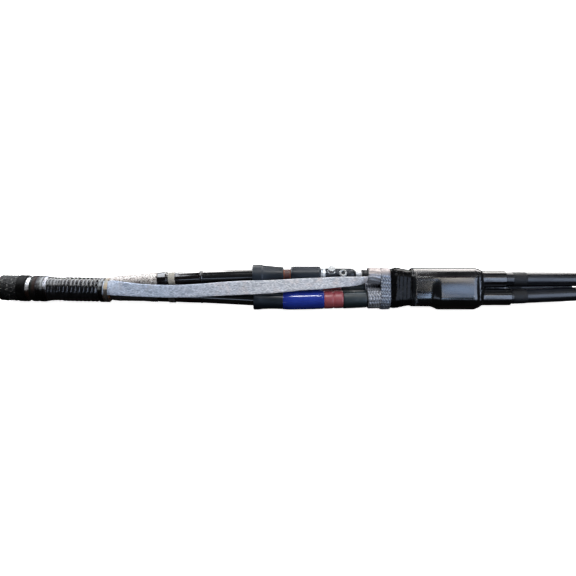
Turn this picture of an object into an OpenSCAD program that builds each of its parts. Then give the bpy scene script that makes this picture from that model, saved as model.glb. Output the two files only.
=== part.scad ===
// Transition cable joint: a three-core paper insulated, lead covered cable on the left
// is joined, core by core, to three single-core polymer insulated cables on the right.
// It is shown open: the outer casing sleeves are left off, so the cores, connectors,
// sleeves, earth braid and the three-finger breakout boot can be seen.
// X runs along the joint towards the single-core cables, Z is up.

/* [Paper cable] */
// Diameter over the jute serving
paper_cable_d = 61.8; // [61:0.2:63]
// Thickness of the jute serving
serving_t = 2.9; // [2.5:0.1:3.2]
// Thickness of the steel tape armour
armour_t = 1.8; // [1.4:0.1:2]
// Thickness of the bedding under the armour
bedding_t = 1.0; // [0.8:0.1:1.2]
// Wall of the lead sheath
lead_t = 2.0; // [1.8:0.1:2.2]

/* [Cores] */
// Diameter of a stranded conductor
conductor_d = 16; // [15:0.5:16]
// Thickness of the paper on each core
paper_t = 2.2; // [1.8:0.1:2.2]
// Outer diameter of the black tubes on the paper cores
tube_d = 31; // [30:0.5:31]
// Distance of the upper core from the joint axis at its connector
top_spread = 35.8; // [35.2:0.2:37]
// Distance of the two lower cores from the joint axis at their connectors
low_spread = 34; // [33.5:0.5:34.5]

/* [Single-core cables] */
// Diameter over the sheath
cable_d = 33; // [32:0.5:33]
// Diameter over the insulation and its screen
insulation_d = 24.4; // [24:0.2:25]

/* [Connectors] */
// Diameter of a connector body
connector_d = 31; // [29:0.5:31]
// Length of a connector body
connector_l = 83; // [80:1:84]
// Diameter of a shear bolt head
bolt_head_d = 17; // [15:0.5:17]

/* [Sleeves] */
// Diameter of the flared mouth of a stress cone
cone_mouth_d = 53; // [50:0.5:53]
// Outer diameter of the blue joint sleeve
joint_sleeve_d = 44.8; // [44:0.2:45.2]
// Outer diameter of the dark sleeve beside the open connector
end_sleeve_d = 40; // [38:0.5:41]

/* [Earth braid] */
// Share of its measured width that the braid keeps
braid_width_factor = 1; // [0.8:0.02:1]
// Thickness of the braid where it spans the cores
braid_t = 3; // [2.4:0.1:3]

/* [Breakout boot] */
// Wall of the boot body
boot_wall = 3.5; // [3:0.1:4]
// Outer diameter of a finger
finger_d = 41; // [39:0.5:41]
// Outer radius of the boot's two lower lobes
boot_low_r = 30.4; // [29.8:0.1:30.6]
// Outer radius of the boot's upper lobe
boot_top_r = 27.7; // [27.5:0.1:28]

/* [Hidden] */
$fn = 72;

// Height of the joint axis above the surface the boot lies on
axis_z = 42.4;
// Half of the overall length
end_x = 684;

// Radii of the paper cable's layers, from the outside in
r_serving = paper_cable_d / 2;
r_armour = r_serving - serving_t;
r_bedding = r_armour - armour_t;
r_lead = r_bedding - bedding_t;
r_belt = r_lead - lead_t;
r_cond = conductor_d / 2;
r_paper = r_cond + paper_t;
r_tube = tube_d / 2;
r_cable = cable_d / 2;
r_insul = insulation_d / 2;
r_conn = connector_d / 2;
lay = 11.9;
finger_lay = 24;

// Where the cable parts change along the joint axis
x_crutch = -438;
x_fan = -404;
x_tube = -206;
x_tail = 564;

// How far the middle of the cables lies above the joint axis
rise = [[-end_x, 0.85], [x_crutch, -5.4], [x_fan, -2.2], [x_tube, 0], [530, 0], [end_x, 3.74]];
cable_tilt = atan2(rise[1][1] - rise[0][1], x_crutch + end_x);
// Each core's spread: distance along the joint axis, distance from the cables' middle
top_spread_line = [[-end_x, lay], [x_crutch, lay], [x_fan, 19.7], [x_tube, 28.8], [0, top_spread],
                   [173, top_spread + 0.5], [286, finger_lay], [530, finger_lay], [end_x, 20.04]];
low_spread_line = [[-end_x, lay], [x_crutch, lay], [x_fan, 17], [x_tube, 22.5], [-12, low_spread],
                   [186, low_spread - 4.5], [286, finger_lay], [530, finger_lay], [end_x, 20.04]];
spreads = [top_spread_line, low_spread_line, low_spread_line];
// Turn of each core about the joint axis: top, front, rear
turn = [0, 120, 240];
CORES = [0, 1, 2];
// Each core's centre line in space
paths = [for (k = CORES) [for (p = spreads[k])
  [p[0], -p[1] * sin(turn[k]), p[1] * cos(turn[k]) + lookup(p[0], rise)]]];

function way(k, i) = paths[k][i + 1] - paths[k][i];
function reach(k, i, x) = (x - paths[k][i][0]) * norm(way(k, i)) / way(k, i)[0];
function spot(k, i, x) = paths[k][i] + way(k, i) * (x - paths[k][i][0]) / way(k, i)[0];
function unit(v) = v / norm(v);
function backwards(a) = [for (i = [len(a) - 1:-1:0]) a[i]];

// Lifts a shape drawn about the joint axis to its place
module placed() translate([0, 0, axis_z]) children();
// A shape drawn along +Z from a stretch's start goes onto stretch i of core k
module on_stretch(k, i) placed() translate(paths[k][i])
  rotate([0, acos(unit(way(k, i))[2]), atan2(way(k, i)[1], way(k, i)[0])]) children();
// A shape drawn along +Z goes onto the paper cable, from its cut end
module on_cable() placed() translate([-end_x, 0, rise[0][1]]) rotate([0, 90 - cable_tilt, 0]) children();
function along(x) = (x + end_x) / cos(cable_tilt);

// A turned sleeve on one stretch: outer and inner are [x, radius] from left to right
module turned(k, i, outer, inner)
  on_stretch(k, i) rotate_extrude()
    polygon([for (p = concat(outer, backwards(inner))) [p[1], reach(k, i, p[0])]]);

// A turned ring round the paper cable
module ring(outer, inner)
  on_cable() rotate_extrude() polygon([for (p = concat(outer, backwards(inner))) [p[1], along(p[0])]]);

// The stretch that x lies on, and the direction there, halfway between two at a bend
function stretch_of(k, x) = max([for (i = [0:len(paths[k]) - 2]) if (i == 0 || x > paths[k][i][0] + 0.001) i]);
function heading(k, x) =
  let (i = stretch_of(k, x), at_bend = i < len(paths[k]) - 2 && abs(x - paths[k][i + 1][0]) < 0.002)
  at_bend ? unit(unit(way(k, i)) + unit(way(k, i + 1))) : unit(way(k, i));
// A ring of points round a core at x
function core_ring(k, x, r, n) =
  let (d = heading(k, x), c = spot(k, stretch_of(k, x), x), u = unit(cross(d, [0, 0, 1])), v = cross(u, d))
  [for (j = [0:n - 1]) c + [0, 0, axis_z] + r * (cos(j * 360 / n) * u + sin(j * 360 / n) * v)];
function stations(k, xa, xb) = concat([xa],
  [for (p = paths[k]) if (p[0] > xa + 0.01 && p[0] < xb - 0.01) p[0]], [xb]);

// A rod that follows a core round its bends
module rod(k, xa, xb, r) loft([for (x = stations(k, xa, xb)) core_ring(k, x, r, 32)]);
// A layer round a core, open at both ends: at is [x, outer radius] along it
module layer(k, at, inner_r)
  hose([for (p = at) core_ring(k, p[0], p[1], 32)], [for (p = at) core_ring(k, p[0], inner_r, 32)]);
function even(k, xa, xb, r) = [for (x = stations(k, xa, xb)) [x, r]];

// A closed wall between rings of points outside and as many inside
module hose(outer, inner) {
  rings = concat(outer, backwards(inner));
  n = len(outer[0]);
  m = len(rings);
  polyhedron(
    points = [for (r = rings) for (p = r) p],
    faces = [for (a = [0:m - 1]) let (b = (a + 1) % m) for (j = [0:n - 1]) each
      [[a * n + j, a * n + (j + 1) % n, b * n + (j + 1) % n],
       [a * n + j, b * n + (j + 1) % n, b * n + j]]]
  );
}

// A closed skin through rings of points, each ring with the same number of them
module loft(rings) {
  n = len(rings[0]);
  m = len(rings);
  polyhedron(
    points = [for (r = rings) for (p = r) p],
    faces = concat(
      [[for (j = [n - 1:-1:0]) j]],
      [for (a = [0:m - 2]) for (j = [0:n - 1]) each
        [[a * n + j, a * n + (j + 1) % n, (a + 1) * n + (j + 1) % n],
         [a * n + j, (a + 1) * n + (j + 1) % n, (a + 1) * n + j]]],
      [[for (j = [0:n - 1]) (m - 1) * n + j]]
    )
  );
}

// Centres of the three lobes in the plane across the joint, as [y, z]
function lobes(d) = [for (k = CORES) [-d[k] * sin(turn[k]), d[k] * cos(turn[k])]];
// The farthest point of three round lobes in direction t
function lobe_point(c, r, t) =
  let (h = [for (k = CORES) c[k][0] * cos(t) + c[k][1] * sin(t) + r[k]],
       k = h[0] >= h[1] && h[0] >= h[2] ? 0 : (h[1] >= h[2] ? 1 : 2))
  [c[k][0] + r[k] * cos(t), c[k][1] + r[k] * sin(t)];
// A stretched skin round three lobes: at x, lobe distances d and radii r
function skin(x, d, r, n) =
  let (c = lobes(d))
  [for (j = [0:n - 1]) let (q = lobe_point(c, r, 3 - j * 360 / n)) [x, q[0], q[1] + axis_z]];

// ---- Paper cable ----

module jute_serving() color("#1d1c1b")
  ring([[-end_x, r_serving], [-640, r_serving], [-640, r_serving - 0.5], [-621, r_serving - 0.5]],
       [[-end_x, r_armour], [-621, r_armour]]);

module serving_end_tape() color("#141414")
  ring([[-640, r_serving + 0.5], [-620, r_serving + 0.5]],
       [[-640, r_serving - 0.5], [-621, r_serving - 0.5], [-621, r_armour], [-620, r_armour]]);

module steel_tape_armour() color("#b9bcb8") ring([[-end_x, r_armour], [-571, r_armour]], [[-end_x, r_bedding], [-571, r_bedding]]);

module armour_bedding() color("#2b2521") ring([[-end_x, r_bedding], [-558, r_bedding]], [[-end_x, r_lead], [-558, r_lead]]);

module lead_sheath() color("#8d9196") ring([[-end_x, r_lead], [x_crutch, r_lead]], [[-end_x, r_belt], [x_crutch, r_belt]]);

// Fills the round of the lead sheath between the three laid-up cores
module belt_paper() color("#9a7b4f") difference() {
  on_cable() cylinder(r = r_belt, h = along(-442));
  for (k = CORES) on_stretch(k, 0) translate([0, 0, -1]) cylinder(r = r_paper, h = along(-440));
}

module armour_end_tape() color("#1a2019")
  ring([[-610, 30.1], [-607, 30.7], [-601, 30.9], [-596, 30.5]], [[-610, r_armour], [-596, r_armour]]);

module armour_bond_braid() color("#b7b9bd")
  ring([[-595.6, 29.7], [-572, 29.7]], [[-595.6, r_armour], [-572, r_armour]]);

// A flat strip wound into a coil, seen end on: inner radius, strip thickness, turns
function coil(r, t, turns, n) = concat(
  [for (j = [0:n * turns]) let (a = j * 360 / n, q = r + j / n * (t + 0.05)) [q * cos(a), q * sin(a)]],
  [for (j = [n * turns:-1:0]) let (a = j * 360 / n, q = r + t + j / n * (t + 0.05)) [q * cos(a), q * sin(a)]]);

module armour_roll_spring() color("#c4c6c4")
  on_cable() translate([0, 0, along(-591)]) linear_extrude(12) polygon(coil(29.75, 0.5, 2, 48));

// Rubber tape, wound with overlapping laps over the lead sheath
tape_laps = [for (j = [0:8]) let (x = -536 + j * 9.6, r = 27 + [0.2, 1.1, 0.3, 1.3, 0.9, 0.4, 1.2, 0.2, 0.8][j]) each
  [[x, r - 0.9], [x + 2.2, r + 0.15], [x + 6.4, r + 0.25], [x + 9.3, r - 0.7]]];
module sheath_tape() color("#15181a")
  ring(concat([[-570.4, 28.4], [-562, 27.7], [-552, 27.2], [-546, 27.6], [-540, 26.8]], tape_laps, [[-449.5, 26.4]]),
       [[-570.4, r_bedding + 0.05], [-557, r_bedding + 0.05], [-557, r_lead], [-449.5, r_lead]]);

// Gap that the clamped end of the braid takes under the rings at the crutch
module braid_seat(xa, xb)
  on_cable() translate([0, 0, along(xa)])
    rotate([0, 0, 177]) rotate_extrude(angle = 98) translate([r_lead - 0.4, 0]) square([2.7, xb - xa]);

module sheath_roll_spring() color("#b4b7b8") difference() {
  union() {
    ring([[-448.8, 27.6], [-438.4, 27.6]], [[-448.8, r_lead], [-438.4, r_lead]]);
    on_cable() translate([0, 0, along(-448.8)]) linear_extrude(10.4) polygon(coil(27.55, 0.7, 2, 48));
  }
  braid_seat(-450, -437);
}

// A cord laid side by side, turn by turn: [x, radius] outline
function cord_turns(x, r, d, n) = [for (j = [0:n - 1]) each
  [for (a = [-60:40:60]) [x + d * (j + 0.5) + d / 2 * sin(a), r + d / 2 * cos(a)]]];

module crutch_cord_binding() color("#d9d0b2")
  ring(cord_turns(-437.6, 27.9, 2.9, 4), [[-437.4, 27.5], [-426.2, 27.5]]);

module crutch_seal() color("#4a2f22") difference() {
  ring([[-437.6, 27.4], [-426.4, 27.4]], [[-437.6, 0], [-426.4, 0]]);
  for (k = CORES) on_stretch(k, 1) translate([0, 0, -5]) cylinder(r = r_paper, h = 25);
  braid_seat(-439, -425);
}

// ---- Earth braid ----

// Stations along the braid: x, height on the seen face, distance out from the axis to its
// inner face, width, bend across it (1/radius), thickness, turn about its own length
function lead_station(x) =
  let (z = rise[0][1] + (x + end_x) * tan(cable_tilt), r = r_lead + 0.15)
  [x, z * cos(30) + r * sin(14), z * sin(30) + r * cos(14), 36, 1 / r, 1.85, -14];
braid_run = [
  lead_station(-448.6), lead_station(-437), lead_station(-427),
  [-420, 0.8, 23.4, 36.5, 0.02, 2.2, -9],
  [-412, 0.2, 24.4, 36.5, 0.006, 2.6, -5],
  [-392, -1.6, 25.2, 34.5, 0, braid_t, -1],
  [-368, -3.8, 25.8, 32.6, 0, braid_t, 0],
  [-343, -5.8, 26.4, 31.2, 0, braid_t, 0],
  [-308, -7.2, 27.2, 30.4, 0, braid_t, 0],
  [-272, -8.0, 28.8, 30.4, 0, braid_t, 0],
  [-240, -7.2, 30.2, 30.8, 0, braid_t, 0],
  [-204, -5.4, 32.4, 31.4, 0, braid_t, 0],
  [-160, -2.6, 36.0, 32.6, 0, braid_t, 0],
  [-112, 0.2, 40.0, 33.6, 0, braid_t, 0],
  [-82, 1.2, 42.1, 33.2, 0, braid_t, 0],
  [-42, 2.6, 41.2, 32.0, 0, braid_t, 0],
  [-8, 5.2, 40.2, 30.4, 0, braid_t, 0],
  [28, 8.2, 39.4, 28.8, 0, braid_t, 0],
  [75, 10.4, 38.5, 27.6, 0, braid_t, 1],
  [100, 12.4, 38.0, 26.6, 0, braid_t, 2],
  [121, 14.0, 37.4, 25.4, 0, braid_t, 4],
  [146, 15.0, 36.2, 23.6, 0.004, braid_t, 8],
  [163, 16.2, 34.6, 21.6, 0.012, 2.8, 16],
  [176, 17.8, 32.6, 19.6, 0.03, 2.2, 30],
  [186, 19.7, 30.7, 17.6, 0.058, 1.6, 40],
  [196, 18.64, 29.85, 17.4, 0.0597, 1.5, 40],
  [214, 16.91, 28.85, 17.4, 0.0597, 1.5, 40]
];
braid_n = 8;
// A point on the seen face's axes: u is up on that face, w is out of it, 30 degrees above level
function face_point(x, u, w) = [x, u * sin(30) - w * cos(30), axis_z + u * cos(30) + w * sin(30)];
function braid_point(s, q, h) =
  let (k = s[4], across = k > 0 ? sin(q * k * 180 / PI) / k : q,
       sunk = k > 0 ? (1 - cos(q * k * 180 / PI)) / k : 0,
       grow = k > 0 ? h * [sin(q * k * 180 / PI), cos(q * k * 180 / PI)] : [0, h],
       a = across + grow[0], b = grow[1] - sunk)
  face_point(s[0], s[1] + a * cos(s[6]) - b * sin(s[6]), s[2] + a * sin(s[6]) + b * cos(s[6]));
function braid_ring(s) = let (w = s[3] * braid_width_factor) concat(
  [for (j = [0:braid_n]) braid_point(s, -w / 2 + w * j / braid_n, 0)],
  [for (j = [braid_n:-1:0]) braid_point(s, -w / 2 + w * j / braid_n, s[5])]);

module earth_braid() color("#c3c7cd") loft([for (s = braid_run) braid_ring(s)]);

// ---- Paper cores ----

function conn_x(k) = k == 0 ? 77 : 1;

module paper_conductor(k) color("#b98a5a") rod(k, -end_x, conn_x(k) + connector_l / 2 - 2, r_cond);

module paper_insulation(k) color("#7a4a30") layer(k, even(k, -end_x, k == 0 ? 70 : -1, r_paper), r_cond);

module core_mesh(k) color("#c6c2c0")
  layer(k, k == 0 ? [[-420, 12.2], [-414, 12.9], [x_fan, 13.3], [-372, 14.2], [-345, 15.6], [-330, 16.4], [-325, 17], [-312, 17], [-308.2, 16]]
                  : [[-420, 12.2], [-414, 12.9], [x_fan, 13.3], [-345, 13.3], [-322, 13.9], [-308.2, 13.9]], r_paper);

module oil_barrier_tube(k) color("#0d0d0c")
  turned(k, 2, k == 0 ? [[-307.8, 16.2], [-306, 17], [-287, 17.4], [-284.4, 14.6], [-265, 14.6], [-258, 15.0], [-212, 15.7], [x_tube - 0.6, 15.6]]
                      : [[-307.8, 14.2], [-284, 14.6], [-265, 14.6], [-258, 15.0], [-212, 15.7], [x_tube - 0.6, 15.6]],
               [[-307.8, r_paper], [x_tube - 0.6, r_paper]]);

module core_cord_bindings() color("#d8d3bd") for (k = CORES)
  turned(k, 2, cord_turns(-283.5, 15.1, 2.5, 7), [[-283.3, 14.6], [-266.2, 14.6]]);

module stress_tube(k) color("#0f1010")
  turned(k, 3, [[x_tube + 0.3, r_tube + 0.9], [x_tube + 3, r_tube + 1.0], [x_tube + 5, r_tube], [k == 0 ? -60 : -13, r_tube]],
               [[x_tube + 0.3, r_paper], [k == 0 ? -60 : -13, r_paper]]);

// A flared sleeve with an open mouth and a bead round its rim
module stress_cone(k) color("#33383d") {
  m = cone_mouth_d / 2;
  if (k == 0)
    turned(k, 3, [[-83, m - 0.6], [-82, m], [-60, m - 0.8], [-58.5, m - 1.9], [-36, m - 4.8], [-14, m - 7.3], [-10, m - 8.0]],
                 [[-83, m - 2.6], [-78, m - 3.4], [-64, r_tube + 1.4], [-60, r_tube], [-59.9, 12.7], [-10, 12.7]]);
  else
    turned(k, 3, [[-80, m - 1.9], [-79, m - 1.4], [-68, m - 1.9], [-60, m - 3.4], [-44, m - 4.9], [-26, m - 5.7], [-11.7, m - 5.9]],
                 [[-80, m - 3.9], [-76, m - 4.4], [-62, r_tube + 1.4], [-58, r_tube], [-11.7, r_tube]]);
}

module insulating_tube(k) color(k == 0 ? "#7d4a43" : "#8f3a3f") {
  if (k == 0) layer(k, even(k, -59.8, 74, 12.7), r_paper);
  else
    turned(k, 4, [[-11.6, 20.4], [85, 20.4], [85.2, 21.2], [87.5, 21.7], [104, 21.4], [106.6, 20.5], [108.4, 20.5], [110.6, 21.4], [127, 21.2], [129.6, 20.4]],
                 [[-11.6, 11.5], [0.8, 11.5], [0.8, r_conn], [1 + connector_l + 0.2, r_conn], [96, r_insul], [129.6, r_insul]]);
}

module end_sleeve(k) color(k == 0 ? "#2c3036" : "#28312f") {
  e = end_sleeve_d / 2;
  if (k == 0)
    turned(k, 4, [[6, e - 2.6], [7.2, e - 1.2], [10, e - 0.3], [14, e], [76, e - 0.2], [76.6, e - 0.8]],
                 [[6, 12.7], [74.2, 12.7], [74.3, r_cond + 0.3], [76.6, r_cond + 0.3]]);
  else
    turned(k, 4, [[130, 21.6], [131, 22.0], [150, 21.7], [178, 20.9], [184.6, 20.6]], [[130, r_insul], [184.6, r_insul]]);
}

module joint_sleeve(k) color("#232a86")
  turned(k, 4, [[-11.6, joint_sleeve_d / 2 - 1.6], [-8, joint_sleeve_d / 2 - 1.1], [4, joint_sleeve_d / 2 - 0.2],
                [16, joint_sleeve_d / 2], [60, joint_sleeve_d / 2 - 0.2], [84.6, joint_sleeve_d / 2 - 0.7]],
               [[-11.6, 20.4], [84.6, 20.4]]);

// ---- Connectors and shear bolts ----

// Each bolt's place along the joint, its turn from the core's outward side, its height above
// the connector's axis, and the height at which its head starts (0 for a bolt sheared flush)
function bolts(k) = k == 0 ? [[102, 22, 24, 17], [129, 46, 18.4, 12.6]] : [[22, 25, 14, 0], [64, -20, 14, 0]];

// A shape drawn along +Z from a connector's axis, at distance x along the joint
module on_bolt(k, x, a) placed() translate(spot(k, 4, x)) rotate([turn[k] + a, 0, 0]) children();

module connector(k) color("#2f3439") {
  x0 = conn_x(k);
  x1 = x0 + connector_l;
  difference() {
    turned(k, 4,
      k == 0 ? [[x0, r_conn - 1.2], [x0 + 1.2, r_conn], [x1 - 12, r_conn - 0.4], [x1 - 6, r_conn - 1.6], [x1 - 2.5, r_conn - 4.2], [x1, r_conn - 6.6]]
             : [[x0, r_conn - 1], [x0 + 1, r_conn], [x1 - 1, r_conn], [x1, r_conn - 1]],
      [[x0, r_cond], [x0 + connector_l / 2 - 2, r_cond], [x0 + connector_l / 2 - 2, 0], [x0 + connector_l / 2 + 2, 0],
       [x0 + connector_l / 2 + 2, r_cond], [x1, r_cond]]);
    for (b = bolts(k)) on_bolt(k, b[0], b[1]) {
      translate([0, 0, 4]) cylinder(r = 6, h = 20);
      if (k == 0) translate([0, 0, 12.6]) cylinder(r = bolt_head_d / 2 + 0.9, h = 12);
    }
  }
}

module shear_bolts() color("#d0d2d4") for (k = CORES) for (b = bolts(k)) on_bolt(k, b[0], b[1])
  difference() {
    union() {
      translate([0, 0, r_cond + 0.2]) cylinder(r = 6, h = (k == 0 ? b[3] + 0.4 : b[2]) - r_cond - 0.2);
      if (k == 0) translate([0, 0, b[3]]) cylinder(r = bolt_head_d / 2, h = b[2] - b[3]);
    }
    if (k == 0 && b[3] < 15) translate([0, 0, b[2] - 4]) cylinder(r = 4.6, h = 10, $fn = 6);
  }

// ---- Single-core cables ----

module cable_conductor(k) color("#c9ccce") rod(k, conn_x(k) + connector_l / 2 + 2, end_x, r_cond);

module cable_insulation(k) color("#101214") layer(k, even(k, k == 0 ? 173.2 : 97, end_x, r_insul), r_cond);

module cable_sheath(k) color("#16191d") layer(k, even(k, 187, x_tail, r_cable), r_insul);

// The sheaths' last straight lengths, from under the finger tapes to the cut ends
module cable_sheath_tails() color("#16191d") for (k = CORES)
  turned(k, 7, [[x_tail, r_cable], [end_x, r_cable]], [[x_tail, r_insul], [end_x, r_insul]]);

module screen_mesh_cuffs() color("#b9bec4") for (k = CORES) difference() {
  turned(k, 5, [[187.4, k == 0 ? 18.4 : 22.6], [190, k == 0 ? 19.2 : 23.6], [210, k == 0 ? 19.2 : 23.6], [213, 18.2], [237.4, 18.1]],
               [[187.4, r_cable], [237.4, r_cable]]);
  // The earth braid's end is held under the upper cuff
  if (k == 0) on_stretch(k, 5) rotate([0, 0, -118]) rotate_extrude(angle = 76)
    translate([r_cable - 0.3, reach(k, 5, 180)]) square([2.2, 36]);
}

module bundle_braid_band() color("#a9b0b8") {
  d0 = [for (k = CORES) lookup(217.5, spreads[k])];
  d1 = [for (k = CORES) lookup(240, spreads[k])];
  bore = [18.5, 18.5, 18.5];
  difference() {
    loft([skin(217.5, d0, [20.0, 25.4, 25.4], 48), skin(220.5, d0, [20.7, 26.8, 26.8], 48),
          skin(237, d1, [21.4, 27.8, 27.8], 48), skin(239.8, d1, [20.4, 26.6, 26.6], 48)]);
    loft([skin(216, d0, bore, 48), skin(241, d1, bore, 48)]);
  }
}

// Mastic tape wound over the three cables, on under the boot to fill it
module bundle_tape_wrap() color("#0f1012") difference() {
  loft([
    skin(240.2, [29, 26.3, 26.3], [19.6, 22.6, 22.6], 48),
    skin(246, [28.4, 26, 26], [21.8, 24.8, 24.8], 48),
    skin(254, [27.6, 25.6, 25.6], [25.2, 25.4, 25.4], 48),
    skin(262, [26.7, 25.2, 25.2], [24.6, 24.2, 24.2], 48),
    skin(272, [25.6, 24.7, 24.7], [23.6, 22.6, 22.6], 48),
    skin(288, [24.2, 24.1, 24.1], [21.9, 20.2, 20.2], 48),
    skin(300, [24, 24, 24], [23.9, 19.6, 19.6], 48),
    skin(338, [24, 24, 24], [boot_top_r - boot_wall - 0.2, 19.8, 19.8], 48),
    skin(354, [24, 24, 24], [boot_top_r - boot_wall - 0.2, boot_low_r - boot_wall - 0.2, boot_low_r - boot_wall - 0.2], 48),
    skin(438, [24, 24, 24], [boot_top_r - boot_wall - 0.2, boot_low_r - boot_wall - 0.2, boot_low_r - boot_wall - 0.2], 48)
  ]);
  for (k = CORES) rod(k, 230, 450, r_cable);
}

// One moulded piece: body, crotch and three fingers
module breakout_boot() color("#101214") difference() {
  union() {
    loft([
      skin(290.5, [24, 24, 24], [25.6, 22.4, 22.4], 60),
      skin(294, [24, 24, 24], [27.2, 23.0, 23.0], 60),
      skin(338, [24, 24, 24], [boot_top_r, 23.3, 23.3], 60),
      skin(346, [24, 24, 24], [boot_top_r, 26.6, 26.6], 60),
      skin(354, [24, 24, 24], [boot_top_r, boot_low_r, boot_low_r], 60),
      skin(440, [24, 24, 24], [boot_top_r, boot_low_r, boot_low_r], 60),
      skin(447, [24, 24, 24], [boot_top_r - 1.6, boot_low_r - 2.2, boot_low_r - 2.2], 60),
      skin(454, [24, 24, 24], [23.4, 24.4, 24.4], 60),
      skin(459, [24, 24, 24], [20.6, 20.6, 20.6], 60)
    ]);
    for (k = CORES) turned(k, 6, [[456, finger_d / 2], [k == 0 ? 513 : 525, finger_d / 2 - 0.3], [k == 0 ? 514.5 : 526.5, finger_d / 2 - 1.6]],
                                 [[456, 0], [k == 0 ? 514.5 : 526.5, 0]]);
  }
  loft([
    skin(289, [24, 24, 24], [22.4, 20.4, 20.4], 48),
    skin(300, [24, 24, 24], [24.1, 19.8, 19.8], 48),
    skin(338, [24, 24, 24], [boot_top_r - boot_wall, 20, 20], 48),
    skin(354, [24, 24, 24], [boot_top_r - boot_wall, boot_low_r - boot_wall, boot_low_r - boot_wall], 48),
    skin(438.4, [24, 24, 24], [boot_top_r - boot_wall, boot_low_r - boot_wall, boot_low_r - boot_wall], 48)
  ]);
  for (k = CORES) on_stretch(k, 6) translate([0, 0, reach(k, 6, 430)]) cylinder(r = r_cable, h = 99);
}

module finger_end_tapes() color("#1b1c1f") for (k = CORES)
  turned(k, 7, [[532, r_cable + 0.5], [564, r_cable + 0.4]], [[532, r_cable], [564, r_cable]]);

jute_serving();
serving_end_tape();
steel_tape_armour();
armour_bedding();
lead_sheath();
belt_paper();
armour_end_tape();
armour_bond_braid();
armour_roll_spring();
sheath_tape();
sheath_roll_spring();
crutch_cord_binding();
crutch_seal();
earth_braid();
paper_conductor(0);  // paper_conductor_top
paper_conductor(1);  // paper_conductor_front
paper_conductor(2);  // paper_conductor_rear
paper_insulation(0);  // paper_insulation_top
paper_insulation(1);  // paper_insulation_front
paper_insulation(2);  // paper_insulation_rear
core_mesh(0);  // core_mesh_top
core_mesh(1);  // core_mesh_front
core_mesh(2);  // core_mesh_rear
oil_barrier_tube(0);  // oil_barrier_tube_top
oil_barrier_tube(1);  // oil_barrier_tube_front
oil_barrier_tube(2);  // oil_barrier_tube_rear
core_cord_bindings();
stress_tube(0);  // stress_tube_top
stress_tube(1);  // stress_tube_front
stress_tube(2);  // stress_tube_rear
stress_cone(0);  // stress_cone_top
stress_cone(1);  // stress_cone_front
stress_cone(2);  // stress_cone_rear
insulating_tube(0);  // insulating_tube_top
insulating_tube(1);  // insulating_tube_front
insulating_tube(2);  // insulating_tube_rear
end_sleeve(0);  // end_sleeve_top
end_sleeve(1);  // end_sleeve_front
end_sleeve(2);  // end_sleeve_rear
joint_sleeve(1);  // joint_sleeve_front
joint_sleeve(2);  // joint_sleeve_rear
connector(0);  // connector_top
connector(1);  // connector_front
connector(2);  // connector_rear
shear_bolts();
cable_conductor(0);  // cable_conductor_top
cable_conductor(1);  // cable_conductor_front
cable_conductor(2);  // cable_conductor_rear
cable_insulation(0);  // cable_insulation_top
cable_insulation(1);  // cable_insulation_front
cable_insulation(2);  // cable_insulation_rear
cable_sheath(0);  // cable_sheath_top
cable_sheath(1);  // cable_sheath_front
cable_sheath(2);  // cable_sheath_rear
cable_sheath_tails();
screen_mesh_cuffs();
bundle_braid_band();
bundle_tape_wrap();
breakout_boot();
finger_end_tapes();
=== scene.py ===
"""Looks of the transition cable joint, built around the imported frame.

Lengths in the piece code are millimetres in the frame of the CAD model; meshes are written in metres.
X runs along the joint towards the single-core cables, Z is up, -Y is the side that the camera sees.
"""

import math

import bpy
import numpy as np
from mathutils import Euler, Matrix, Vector


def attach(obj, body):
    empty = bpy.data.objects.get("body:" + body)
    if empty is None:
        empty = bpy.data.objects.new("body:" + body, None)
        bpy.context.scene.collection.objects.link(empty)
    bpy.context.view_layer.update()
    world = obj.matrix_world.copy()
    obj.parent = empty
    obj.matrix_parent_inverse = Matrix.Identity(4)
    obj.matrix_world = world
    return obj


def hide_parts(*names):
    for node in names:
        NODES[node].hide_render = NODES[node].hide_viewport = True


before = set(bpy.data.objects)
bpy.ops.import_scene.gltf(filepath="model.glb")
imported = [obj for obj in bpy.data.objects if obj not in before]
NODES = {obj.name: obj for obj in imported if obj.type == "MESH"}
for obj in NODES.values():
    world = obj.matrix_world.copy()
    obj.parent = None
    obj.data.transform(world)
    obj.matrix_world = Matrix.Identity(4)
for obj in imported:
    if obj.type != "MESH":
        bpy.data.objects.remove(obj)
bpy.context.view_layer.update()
TAU = 2 * math.pi

# ---------------------------------------------------------------- camera

cam_data = bpy.data.cameras.new("view_camera")
cam_data.sensor_width = 36.0
cam_data.lens = 33.85
cam_data.clip_start = 0.05
cam_data.clip_end = 200.0
camera = bpy.data.objects.new("view_camera", cam_data)
bpy.context.scene.collection.objects.link(camera)
camera.location = (0.0, -1.12583, 0.6924)
camera.rotation_euler = Euler((math.radians(60.0), 0.0, 0.0))
bpy.context.scene.camera = camera

# ---------------------------------------------------------------- the joint's lines

AXIS_Z = 42.4
END_X = 684.0
LAY, FINGER_LAY = 11.9, 24.0
RISE = np.array([(-684, .85), (-438, -5.4), (-404, -2.2), (-206, 0), (530, 0), (684, 3.74)], float)
TOP = np.array([(-684, LAY), (-438, LAY), (-404, 19.7), (-206, 28.8), (0, 35.8), (173, 36.3), (286, 24), (530, 24), (684, 20.04)], float)
LOW = np.array([(-684, LAY), (-438, LAY), (-404, 17), (-206, 22.5), (-12, 34), (186, 29.5), (286, 24), (530, 24), (684, 20.04)], float)
TURN = [0.0, math.radians(120), math.radians(240)]
TILT = math.atan2(-6.25, 246.0)
NAMES = ["top", "front", "rear"]
CABLE = 3


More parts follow.
